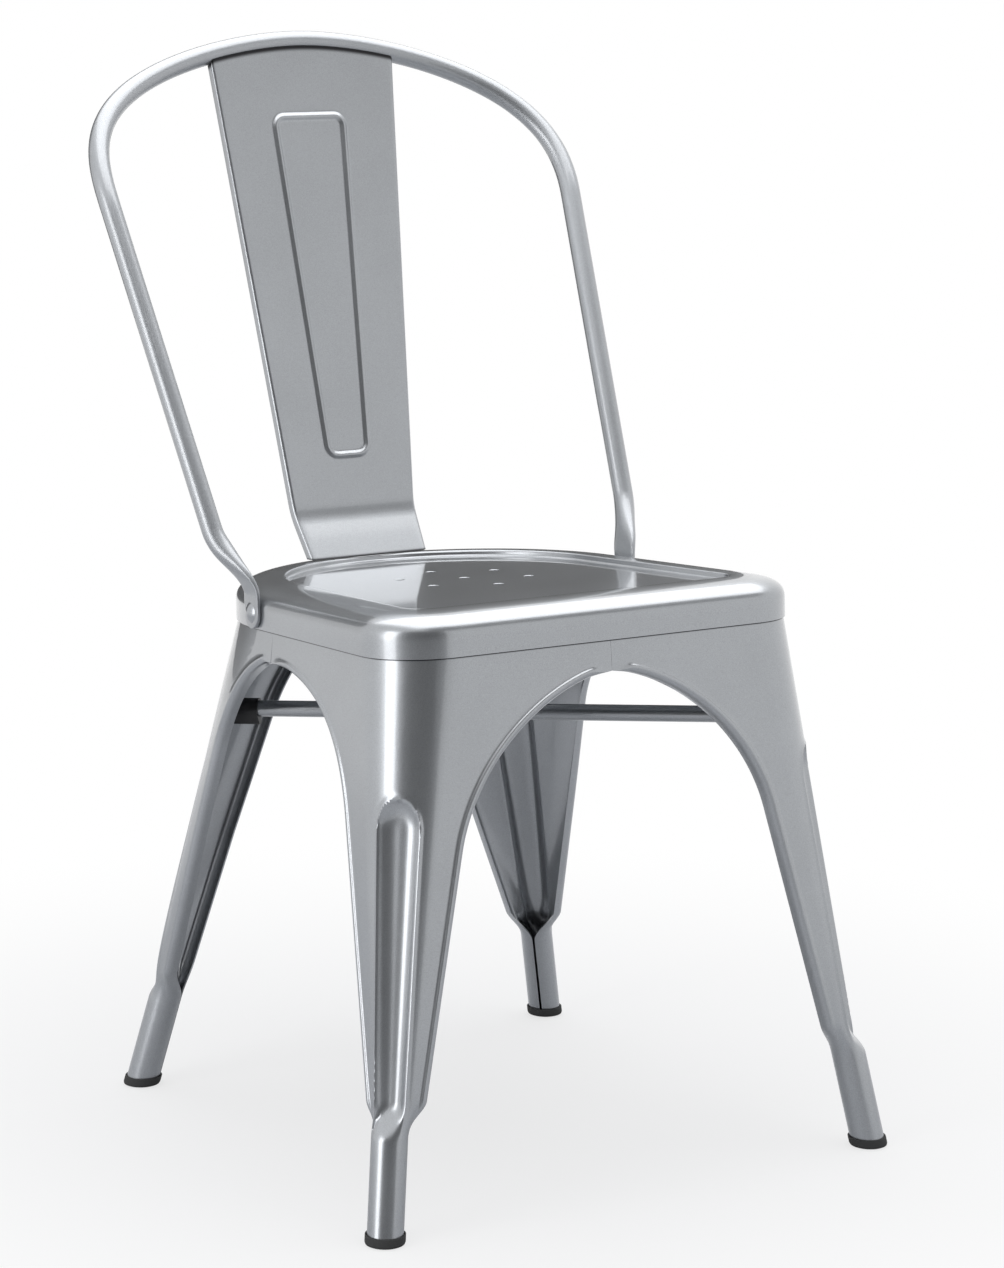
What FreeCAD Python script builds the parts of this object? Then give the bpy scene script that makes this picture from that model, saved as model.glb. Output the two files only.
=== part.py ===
import FreeCAD, Part
import Sketcher
import math
import os

# Metal bistro chair: four pressed sheet legs under a pressed seat pan, a bent tube hoop and a sheet splat.
# Millimetres. X runs to the sitter's left and right, the chair faces -Y, +Z is up.
# The chair is laid out about a working origin between the feet, and every piece is moved back by one shift at
# the end, so that the part's origin is the middle of its box on the floor.

V = FreeCAD.Vector

DIMENSIONS = [
    ("seat_tilt", 3.61, "degrees, seat pan lower at the back"),
    ("skirt_line", 407.7, "height of the skirt's lower edge at the working origin"),
    ("skirt_height", 32.0, "skirt's lower edge to the rim's crest"),
    ("seat_front", 172.3, "working origin to the front face of the skirt"),
    ("seat_back", 222.6, "working origin to the back face of the skirt"),
    ("front_half_width", 189.2, "half width at the front, to the sharp corner"),
    ("back_half_width", 161.0, "half width at the back, to the sharp corner"),
    ("front_corner_radius", 50.0, "plan radius of the seat's front corners"),
    ("back_straight", 2.7, "half of the straight between the seat's back corners"),
    ("seat_sheet", 1.2, "seat pan's sheet"),
    ("rim_radius", 18.0, "rolled rim, outside"),
    ("dish_inset", 40.0, "skirt face to the dish's wall"),
    ("dish_front_radius", 18.0, "plan radius of the dish's front corners"),
    ("dish_depth", 4.6, "rim's crest to the dish's floor"),
    ("crest_radius", 2.2, "round between the rim and the dish's wall"),
    ("dish_radius", 2.2, "round at the foot of the dish's wall"),
    ("drain_diameter", 8.0, "drain holes"),
    ("drain_ring", 51.0, "radius of the ring of drain holes"),
    ("drain_place", 35.0, "middle of the drain holes, behind the working origin"),
    ("drain_count", 6, "holes in the ring"),
    ("leg_sheet", 1.2, "legs' sheet"),
    ("skirt_clearance", 0.4, "between the skirt and the legs inside it"),
    ("leg_lap", 6.5, "legs' sheet above the skirt's lower edge"),
    ("arch_below_skirt", 23.5, "skirt's lower edge down to the apex of the four arches"),
    ("front_arch_half_width", 138.1, "seam to the end of the front arch's curve"),
    ("front_arch_end_height", 263.7, "end of the front arch's curve, in the seat's slope"),
    ("front_arch_spread", 0.243, "spread of the straight edge below it, per unit of height"),
    ("front_arch_reach", 59.0, "how far the apex's direction carries into the curve"),
    ("front_arch_rise", 64.0, "how far the straight edge's direction carries into the curve"),
    ("front_arch_drop", 0.12, "fall of the curve at its apex, per unit of width"),
    ("back_arch_half_width", 79.2, "the same for the back arch"),
    ("back_arch_end_height", 310.3, "the same for the back arch"),
    ("back_arch_spread", 0.374, "the same for the back arch"),
    ("back_arch_reach", 38.0, "the same for the back arch"),
    ("back_arch_rise", 35.0, "the same for the back arch"),
    ("back_arch_drop", 0.12, "the same for the back arch"),
    ("side_front_arch_half_width", 147.0, "the same for the front half of a side arch"),
    ("side_front_arch_end_height", 284.8, "the same for the front half of a side arch"),
    ("side_front_arch_spread", 0.353, "the same for the front half of a side arch"),
    ("side_front_arch_reach", 89.0, "the same for the front half of a side arch"),
    ("side_front_arch_rise", 54.0, "the same for the front half of a side arch"),
    ("side_front_arch_drop", 0.05, "the same for the front half of a side arch"),
    ("side_back_arch_half_width", 87.3, "the same for the back half of a side arch"),
    ("side_back_arch_end_height", 304.5, "the same for the back half of a side arch"),
    ("side_back_arch_spread", 0.298, "the same for the back half of a side arch"),
    ("side_back_arch_reach", 39.0, "the same for the back half of a side arch"),
    ("side_back_arch_rise", 39.0, "the same for the back half of a side arch"),
    ("side_back_arch_drop", 0.12, "the same for the back half of a side arch"),
    ("roll_opening", 0.12, "share of an arch's curve over which the edge's roll opens"),
    ("seam_gap", 0.5, "between two legs where they meet"),
    ("edge_roll", 5.0, "radius of the arch edges' roll"),
    ("edge_flange", 4.0, "flat beyond the arch edges' roll"),
    ("seam_roll", 1.2, "radius of the fold at the seams"),
    ("side_seam", 36.5, "place of the side seam, behind the working origin"),
    ("knee_height", 99.0, "where the flanks start to close into the foot tube"),
    ("tube_height", 74.0, "where the foot tube is round"),
    ("slit_width", 2.0, "seam inside the foot tube"),
    ("foot_radius", 13.6, "foot tube, outside"),
    ("front_foot_across", 221.0, "front foot's axis on the floor, across"),
    ("front_foot_along", 216.6, "front foot's axis on the floor, forward"),
    ("front_foot_lean_across", 0.160, "front foot's lean inward, per unit of height"),
    ("front_foot_lean_along", 0.188, "front foot's lean backward, per unit of height"),
    ("back_foot_across", 197.7, "back foot's axis on the floor, across"),
    ("back_foot_along", 216.5, "back foot's axis on the floor, backward"),
    ("back_foot_lean_across", 0.225, "back foot's lean inward, per unit of height"),
    ("back_foot_lean_along", 0.153, "back foot's lean forward, per unit of height"),
    ("front_knee_radius", 23.5, "front leg's corner radius at the knee"),
    ("back_knee_radius", 14.5, "back leg's corner radius at the knee"),
    ("flute_top", 318.0, "upper tip of the flute in a leg's corner"),
    ("flute_tip", 77.0, "lower tip of the flute"),
    ("flute_depth", 7.0, "flute's depth below the corner"),
    ("flute_top_width", 34.0, "flute's width at its upper end"),
    ("flute_tip_width", 22.0, "flute's width at its lower end"),
    ("flute_end", 24.0, "length of the flute's sloping upper end"),
    ("cap_height", 7.5, "rubber foot cap"),
    ("cap_wall", 1.2, "foot cap's wall"),
    ("cap_floor", 3.0, "rubber under the foot tube"),
    ("cap_round", 2.0, "foot cap's lower edge"),
    ("cap_clearance", 0.3, "between the foot tube and its cap"),
    ("brace_radius", 6.5, "brace tubes, outside"),
    ("brace_wall", 1.2, "brace tubes' wall"),
    ("brace_height", 331.0, "axis of the longer brace tube, in the seat's slope"),
    ("brace_centre", 7.7, "crossing of the brace tubes, behind the working origin"),
    ("brace_turn", 45.4, "degrees, brace tubes to the chair's width"),
    ("brace_clearance", 0.3, "between the brace tubes, and at their ends"),
    ("front_bumper_place", 147.0, "front bumpers' middle, across"),
    ("rear_bumper_place", 137.0, "rear bumpers' middle, across"),
    ("bumper_length", 23.0, "plastic bumper along the brace tube"),
    ("bumper_wall", 1.8, "plastic over the brace tube"),
    ("bumper_drop", 13.0, "brace axis to the bumper's lower tip"),
    ("bumper_tip", 3.0, "radius of the bumper's lower tip"),
    ("bumper_clearance", 0.3, "between the brace tube and its bumper"),
    ("hoop_radius", 8.25, "back hoop's tube, outside"),
    ("hoop_wall", 1.5, "back hoop's wall"),
    ("hoop_top_height", 841.75, "axis of the hoop at its top"),
    ("hoop_top_back", 308.0, "axis of the hoop at its top, behind the working origin"),
    ("shoulder_across", 215.3, "half width of the hoop at its shoulders"),
    ("shoulder_back", 217.7, "shoulders behind the working origin"),
    ("shoulder_height", 713.8, "shoulders' height"),
    ("hoop_lean_across", 0.0984, "hoop side's lean outward, per unit of height"),
    ("hoop_lean_back", 0.5035, "hoop side's lean backward, per unit of height"),
    ("shoulder_handle", 61.4, "how far the side's direction carries into the shoulder"),
    ("top_handle", 85.3, "how far the top's direction carries into the shoulder"),
    ("corner_inset", 1.8, "corner that draws the hoop's bend, inside the shoulders' half width"),
    ("corner_forward", 10.4, "that corner in front of the hoop's top"),
    ("corner_drop", 35.1, "that corner below the hoop's top"),
    ("hoop_bend_rise", 48.5, "where the hoop's side starts to bend in, above the top of its tab"),
    ("tab_width", 24.5, "flattened end of the hoop"),
    ("tab_thickness", 3.4, "flattened end of the hoop"),
    ("tab_top", 26.0, "flattened end above the skirt's lower edge"),
    ("hoop_bend_handle", 0.334, "how far the hoop side's direction carries into the bend, by its length"),
    ("tab_handle", 0.268, "how far the tab's direction carries into the bend, by its length"),
    ("flattening_start", 0.2, "share of the bend where the tube starts to flatten"),
    ("bend_overlap", 1.0, "bend's upper end round the tube"),
    ("bend_step", 0.05, "bend's upper end outside the tube"),
    ("rivet_place", 66.0, "rivets behind the working origin"),
    ("rivet_height", 12.5, "rivets above the skirt's lower edge"),
    ("rivet_radius", 3.0, "rivet's shank"),
    ("rivet_head_radius", 8.0, "rivet's domed head"),
    ("rivet_head_height", 3.2, "rivet's domed head"),
    ("rivet_tail_radius", 4.6, "rivet's closed end inside the skirt"),
    ("rivet_tail_height", 1.6, "rivet's closed end inside the skirt"),
    ("rivet_clearance", 0.2, "round the rivet's shank"),
    ("washer_radius", 5.5, "washer inside the skirt"),
    ("washer_thickness", 1.2, "washer inside the skirt"),
    ("washer_clearance", 0.5, "between the washer and the skirt, where the skirt starts to curve"),
    ("splat_sheet", 1.2, "back splat's sheet"),
    ("splat_top_half_width", 86.3, "splat at its top"),
    ("splat_foot_half_width", 54.8, "splat at its foot"),
    ("splat_foot_back", 183.5, "splat's foot behind the working origin"),
    ("splat_bend_height", 464.0, "where the splat bends forward to its foot"),
    ("splat_bend_back", 208.5, "where the splat bends, behind the working origin"),
    ("splat_bend_radius", 45.0, "bend above the splat's foot"),
    ("splat_fold_radius", 3.0, "fold along the splat's sides"),
    ("splat_fold", 4.0, "flat of the fold along the splat's sides"),
    ("splat_setback", 8.0, "splat's face in front of the hoop's axis"),
    ("splat_clearance", 0.4, "splat to the hoop and to the seat"),
]

# Worked out in the sheet from the sizes above
WORKED_OUT = [
    ("seat_taper", "=(front_half_width - back_half_width) / (seat_front + seat_back)",
     "narrowing of each side of the seat, per unit of length"),
    ("back_corner_radius", "=(back_half_width - back_straight) * (seat_taper + sqrt(1 + seat_taper ^ 2))",
     "plan radius of the seat's back corners"),
    ("arch_height", "=skirt_line - arch_below_skirt", "apex of the four arches, in the seat's slope"),
]

doc = FreeCAD.newDocument("bistro_chair")
sheet = doc.addObject("Spreadsheet::Sheet", "sizes")
for row, (alias, value, note) in enumerate(DIMENSIONS + WORKED_OUT, start=1):
    sheet.set("A%d" % row, note)
    sheet.set("B%d" % row, str(value))
    sheet.setAlias("B%d" % row, alias)
doc.recompute()
pieces = []


def size(alias):
    return float(getattr(sheet, alias))


# Frame of the seat and places that several pieces share

TILT = math.radians(size("seat_tilt"))
SLOPE = math.tan(TILT)
TAPER = size("seat_taper")
CAP_RADIUS = size("foot_radius") + size("cap_clearance") + size("cap_wall")
FRONT_REACH = size("front_foot_along") - size("front_foot_lean_along") * size("cap_round") + CAP_RADIUS
BACK_REACH = size("hoop_top_back") + size("hoop_radius")
SHIFT = V(0, (FRONT_REACH - BACK_REACH) / 2, 0)
SHIFTED = FreeCAD.Placement(SHIFT, FreeCAD.Rotation())
SIDES = (("left", -1), ("right", 1))
ENDS = (("front", -1), ("rear", 1))
# Steps of a search that halves its range, and the short step along a curve that gives its direction
HALVINGS = 40
CURVE_STEP = 0.001


def real_height(slope_height, along):
    """Height above the floor of a place given by its height in the seat's slope."""
    return slope_height - SLOPE * along


def smooth(value):
    """0 to 1 with level ends."""
    value = min(max(value, 0.0), 1.0)
    return value * value * (3 - 2 * value)


def mix(first, second, share):
    return first + (second - first) * share


def bezier(points, share):
    """Point of a smooth curve from the first point to the last, drawn towards the ones between."""
    while len(points) > 1:
        points = [mix(first, last, share) for first, last in zip(points, points[1:])]
    return points[0]


def seat_frame():
    """Placement of the seat's own frame, with its slope."""
    turn = FreeCAD.Rotation(V(1, 0, 0), -size("seat_tilt"))
    return FreeCAD.Placement(V(0, 0, size("skirt_line")), turn)


def side_frame():
    """Frame at the right rivet on the skirt's face: x outward, y back along the skirt, z up the skirt."""
    along = size("rivet_place")
    across = size("front_half_width") - TAPER * (along + size("seat_front"))
    turn = FreeCAD.Rotation(V(0, 0, 1), math.degrees(math.atan(TAPER)))
    local = FreeCAD.Placement(V(across, along / math.cos(TILT), size("rivet_height")), turn)
    return seat_frame().multiply(local)


def mirrored_left(shape, side):
    """The right-hand shape, or its mirror image on the left."""
    if side > 0:
        return shape
    return shape.mirror(V(0, 0, 0), V(1, 0, 0))


def add_computed(label, shape):
    """A sub-part made from a computed shape, moved to the part's own origin."""
    feature = doc.addObject("Part::Feature", label)
    feature.Label = label
    feature.Shape = shape
    feature.Placement = SHIFTED
    pieces.append(feature)
    return feature


# Bodies and sketches bound to the sheet

def new_body(label, placement):
    body = doc.addObject("PartDesign::Body", label)
    body.Label = label
    body.Placement = placement
    pieces.append(body)
    return body


def new_sketch(body, name, role="XY_Plane", offsets=()):
    """Sketch on one of the body's own planes, moved by expressions."""
    sketch = body.newObject("Sketcher::SketchObject", body.Name + "_" + name)
    for plane in body.Origin.OriginFeatures:
        if plane.Role == role:
            sketch.AttachmentSupport = [(plane, "")]
    sketch.MapMode = "FlatFace"
    for axis, expression in offsets:
        sketch.setExpression("AttachmentOffset.Base." + axis, expression)
    return sketch


def rule(sketch, kind, places, expression=None, value=1.0):
    """Constraint, bound to an expression where it has a size."""
    if expression is None:
        sketch.addConstraint(Sketcher.Constraint(kind, *places))
        return
    index = sketch.addConstraint(Sketcher.Constraint(kind, *places, value))
    sketch.setExpression("Constraints[%d]" % index, expression)


def add_circle(sketch, expression, value, across=None, along=None):
    """Circle about the sketch's origin, or moved from it by expressions with their present values."""
    centre = V(across[1] if across else 0, along[1] if along else 0, 0)
    number = sketch.addGeometry(Part.Circle(centre, V(0, 0, 1), value))
    if across is None and along is None:
        rule(sketch, "Coincident", (number, 3, -1, 1))
    if along is not None:
        rule(sketch, "PointOnObject", (number, 3, -2))
        rule(sketch, "DistanceY", (-1, 1, number, 3), along[0], along[1])
    rule(sketch, "Radius", (number,), expression, value)
    return number


def pad(body, sketch, name, expression):
    feature = body.newObject("PartDesign::Pad", body.Name + "_" + name)
    feature.Profile = sketch
    feature.setExpression("Length", expression)
    return feature


def edges_where(shape, test):
    return ["Edge%d" % number for number, edge in enumerate(shape.Edges, start=1) if test(edge)]


def fillet(body, base, name, expression, test):
    """Rounds the base feature's edges that pass the test."""
    doc.recompute()
    feature = body.newObject("PartDesign::Fillet", body.Name + "_" + name)
    feature.Base = (base, edges_where(base.Shape, test))
    feature.setExpression("Radius", expression)
    return feature


def level_edges(height):
    """Test for edges that lie wholly at one height of the body's frame."""
    def test(edge):
        box = edge.BoundBox
        return abs(box.ZMin - height) < 0.01 and abs(box.ZMax - height) < 0.01
    return test


# Thin sheets from a grid of control points

def grid_normals(grid):
    """Unit normals of a grid of points, rows by columns."""
    rows = len(grid)
    columns = len(grid[0])
    normals = []
    for i in range(rows):
        line = []
        for j in range(columns):
            down = grid[min(i + 1, rows - 1)][j] - grid[max(i - 1, 0)][j]
            across = grid[i][min(j + 1, columns - 1)] - grid[i][max(j - 1, 0)]
            line.append(across.cross(down).normalize())
        normals.append(line)
    return normals


def even_knots(count):
    """Knots and their multiplicities for a clamped cubic curve with evenly spaced knots."""
    spans = count - 3
    return [float(index) for index in range(spans + 1)], [4] + [1] * (spans - 1) + [4]


def control_surface(grid):
    """Smooth surface that follows its control points closely and never swings past them."""
    surface = Part.BSplineSurface()
    u_knots, u_counts = even_knots(len(grid))
    v_knots, v_counts = even_knots(len(grid[0]))
    surface.buildFromPolesMultsKnots(grid, u_counts, v_counts, u_knots, v_knots, False, False, 3, 3)
    return surface


def thin_sheet(grid, thickness):
    """Closed solid between a grid of points and the same grid moved in along its normals."""
    normals = grid_normals(grid)
    inner = [[p - n * thickness for p, n in zip(line, ns)] for line, ns in zip(grid, normals)]
    outside = control_surface(grid)
    inside = control_surface(inner)
    faces = [outside.toShape(), inside.toShape()]
    first_u, last_u, first_v, last_v = outside.bounds()
    for number in (first_u, last_u):
        faces.append(Part.makeRuledSurface(outside.uIso(number).toShape(), inside.uIso(number).toShape()))
    for number in (first_v, last_v):
        faces.append(Part.makeRuledSurface(outside.vIso(number).toShape(), inside.vIso(number).toShape()))
    shell = Part.makeShell(faces)
    shell.sewShape()
    solid = Part.makeSolid(shell)
    if solid.Volume < 0:
        solid.reverse()
    return solid


def outward_grid(grid, outward):
    """The grid, with its columns turned round if its normals point away from the given direction."""
    normals = grid_normals(grid)
    middle = normals[len(grid) // 2][len(grid[0]) // 2]
    if middle.dot(outward) < 0:
        return [list(reversed(line)) for line in grid]
    return grid


# Seat

def inset_corners(inset):
    """Sharp corners of the right half of the seat's outline, moved in by inset."""
    moved = inset * math.hypot(1, TAPER)
    front = (size("front_half_width") - TAPER * inset - moved, -size("seat_front") + inset)
    back = (size("back_half_width") + TAPER * inset - moved, size("seat_back") - inset)
    return front, back


def corner_arc(corner, before, after, radius):
    """Start, middle, end and centre of the arc that rounds a corner between two directions away from it."""
    spread = math.acos(before.dot(after))
    reach = radius / math.tan(spread / 2)
    inward = (before + after).normalize()
    centre = corner + inward * (radius / math.sin(spread / 2))
    return corner + before * reach, centre - inward * radius, corner + after * reach, centre


def seat_outline(body, name, inset, height, front_round):
    """Sketch of the seat's outline moved in by a named inset: four lines and four arcs."""
    reach = size(inset) if inset else 0.0
    term = " - sizes.%s" % inset if inset else ""
    narrowing = " - sizes.%s * (sqrt(1 + sizes.seat_taper ^ 2)" % inset if inset else ""
    sketch = new_sketch(body, name, offsets=(("z", height),))
    front, back = inset_corners(reach)
    front_radius = size(front_round)
    back_radius = size("back_corner_radius") - reach
    corners = [V(front[0], front[1], 0), V(back[0], back[1], 0)]
    corners.extend(V(-corner.x, corner.y, 0) for corner in reversed(corners[:]))
    radii = (front_radius, back_radius, back_radius, front_radius)
    arcs = []
    for index, corner in enumerate(corners):
        before = (corners[index - 1] - corner).normalize()
        after = (corners[(index + 1) % 4] - corner).normalize()
        arcs.append(corner_arc(corner, before, after, radii[index]))
    numbers = []
    for index, arc in enumerate(arcs):
        numbers.append(sketch.addGeometry(Part.Arc(arc[0], arc[1], arc[2])))
        numbers.append(sketch.addGeometry(Part.LineSegment(arc[2], arcs[(index + 1) % 4][0])))
    for index, number in enumerate(numbers):
        following = numbers[(index + 1) % 8]
        first_end = nearest_end(sketch, number, following)
        second_end = nearest_end(sketch, following, number)
        rule(sketch, "Tangent", (number, first_end, following, second_end))
    right_front, side, right_back, back_line, left_back, other_side, left_front, front_line = numbers
    rule(sketch, "Symmetric", (front_line, 1, front_line, 2, -2))
    rule(sketch, "Symmetric", (back_line, 1, back_line, 2, -2))
    rule(sketch, "Radius", (right_front,), "sizes." + front_round, front_radius)
    rule(sketch, "Radius", (right_back,), "sizes.back_corner_radius" + term, back_radius)
    rule(sketch, "Equal", (right_front, left_front))
    rule(sketch, "Equal", (right_back, left_back))
    rule(sketch, "DistanceY", (front_line, 1, -1, 1), "sizes.seat_front" + term, -front[1])
    rule(sketch, "DistanceY", (-1, 1, back_line, 1), "sizes.seat_back" + term, back[1])
    for corner, line, alias, sign in ((front, front_line, "front_half_width", " + "),
                                      (back, back_line, "back_half_width", " - ")):
        mark = sketch.addGeometry(Part.Point(V(corner[0], corner[1], 0)), True)
        rule(sketch, "PointOnObject", (mark, 1, line))
        rule(sketch, "PointOnObject", (mark, 1, side))
        across = "sizes." + alias + (narrowing + sign + "sizes.seat_taper)" if inset else "")
        rule(sketch, "DistanceX", (-1, 1, mark, 1), across, corner[0])
    return sketch


def nearest_end(sketch, number, other):
    """Which end, 1 or 2, of one edge of a sketch meets another edge."""
    first = sketch.getPoint(number, 1)
    last = sketch.getPoint(number, 2)
    ends = (sketch.getPoint(other, 1), sketch.getPoint(other, 2))
    near_first = min(first.distanceToPoint(end) for end in ends)
    near_last = min(last.distanceToPoint(end) for end in ends)
    return 1 if near_first < near_last else 2


def make_seat():
    body = new_body("seat_pan", SHIFTED.multiply(seat_frame()))
    height = size("skirt_height")
    floor = height - size("dish_depth")
    outline = seat_outline(body, "outline", None, "0", "front_corner_radius")
    block = pad(body, outline, "block", "sizes.skirt_height")
    rim = fillet(body, block, "rim", "sizes.rim_radius", level_edges(height))
    dish = body.newObject("PartDesign::Pocket", "seat_pan_dish")
    dish.Profile = seat_outline(body, "dish_outline", "dish_inset", "sizes.skirt_height", "dish_front_radius")
    dish.setExpression("Length", "sizes.dish_depth")
    doc.recompute()
    if dish.Shape.Volume >= rim.Shape.Volume:
        raise RuntimeError("the dish cut nothing")
    within = (size("rim_radius") + size("dish_inset")) / 2
    front_limit, back_limit = inset_corners(within)

    def dish_edge(edge):
        box = edge.BoundBox
        return level_edges(height)(edge) and max(box.XMax, -box.XMin) < front_limit[0] \
            and front_limit[1] < box.YMin and box.YMax < back_limit[1]

    crest = fillet(body, dish, "crest", "sizes.crest_radius", dish_edge)
    foot = fillet(body, crest, "dish_foot", "sizes.dish_radius", level_edges(floor))
    doc.recompute()
    shell = body.newObject("PartDesign::Thickness", "seat_pan_sheet")
    underside = ["Face%d" % number for number, face in enumerate(foot.Shape.Faces, start=1)
                 if abs(face.BoundBox.ZMin) < 0.01 and abs(face.BoundBox.ZMax) < 0.01]
    shell.Base = (foot, underside)
    shell.setExpression("Value", "sizes.seat_sheet")
    shell.Reversed = True
    shell.Mode = 0
    shell.Join = 0
    doc.recompute()
    centre_hole = body.newObject("PartDesign::Pocket", "seat_pan_centre_drain")
    centre_sketch = new_sketch(body, "centre_drain_circle")
    add_circle(centre_sketch, "sizes.drain_diameter / 2", size("drain_diameter") / 2,
               along=("sizes.drain_place", size("drain_place")))
    centre_hole.Profile = centre_sketch
    centre_hole.Type = "ThroughAll"
    centre_hole.Reversed = True
    doc.recompute()
    ring_place = size("drain_place") + size("drain_ring")
    ring_hole = body.newObject("PartDesign::Pocket", "seat_pan_ring_drain")
    ring_sketch = new_sketch(body, "ring_drain_circle")
    add_circle(ring_sketch, "sizes.drain_diameter / 2", size("drain_diameter") / 2,
               along=("sizes.drain_place + sizes.drain_ring", ring_place))
    ring_hole.Profile = ring_sketch
    ring_hole.Type = "ThroughAll"
    ring_hole.Reversed = True
    doc.recompute()
    ring_axis = new_sketch(body, "ring_axis", offsets=(("y", "sizes.drain_place"),))
    ring = body.newObject("PartDesign::PolarPattern", "seat_pan_drain_ring")
    ring.Originals = [ring_hole]
    ring.Axis = (ring_axis, ["N_Axis"])
    ring.Angle = 360
    ring.setExpression("Occurrences", "sizes.drain_count")
    body.Tip = ring
    doc.recompute()
    rivets = body.newObject("PartDesign::Pocket", "seat_pan_rivet_holes")
    rivet_sketch = new_sketch(body, "rivet_circle", role="YZ_Plane")
    place = V(size("rivet_place") / math.cos(TILT), size("rivet_height"), 0)
    radius = size("rivet_radius") + size("rivet_clearance")
    number = rivet_sketch.addGeometry(Part.Circle(place, V(0, 0, 1), radius))
    along = "sizes.rivet_place / cos(sizes.seat_tilt * 1deg)"
    rule(rivet_sketch, "DistanceX", (-1, 1, number, 3), along, place.x)
    rule(rivet_sketch, "DistanceY", (-1, 1, number, 3), "sizes.rivet_height", place.y)
    rule(rivet_sketch, "Radius", (number,), "sizes.rivet_radius + sizes.rivet_clearance", radius)
    rivets.Profile = rivet_sketch
    rivets.Type = "ThroughAll"
    rivets.Midplane = True
    doc.recompute()
    return body


# Legs

class Arch:
    """Half of an arch: a curve from the apex to a point where a straight edge runs on down to the knee.
    Offsets count from the seam, heights in the seat's slope."""

    def __init__(self, name):
        reach = size(name + "_reach")
        rise = size(name + "_rise")
        self.spread = size(name + "_spread")
        self.end = V(size(name + "_half_width"), size(name + "_end_height"), 0)
        start = V(size("seam_gap") / 2, size("arch_height"), 0)
        self.points = (start, start + V(reach, -size(name + "_drop") * reach, 0),
                       self.end + V(-self.spread * rise, rise, 0), self.end)

    def at(self, share, knee):
        """Point and direction along the edge: share 0 to 1 on the curve, 1 to 2 on the straight edge."""
        if share <= 1:
            near = bezier(self.points, min(share + CURVE_STEP, 1.0))
            far = bezier(self.points, max(share - CURVE_STEP, 0.0))
            return bezier(self.points, share), (near - far).normalize()
        low = V(self.end.x + self.spread * (self.end.y - knee), knee, 0)
        along = (low - self.end).normalize()
        return self.end + (low - self.end) * (share - 1), along


SEAM_ROWS = 5
SEAM_SHARE = 0.2
ARCH_ROWS = 14
ARCH_ROWS_START = 0.65
STRAIGHT_ROWS = 12
CLOSING_ROWS = 8
TUBE_ROWS = 4
FLUTE_COLUMNS = 6
FLANK_COLUMNS = 8
ROLL_COLUMNS = 5
FLANGE_COLUMNS = 2


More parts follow.
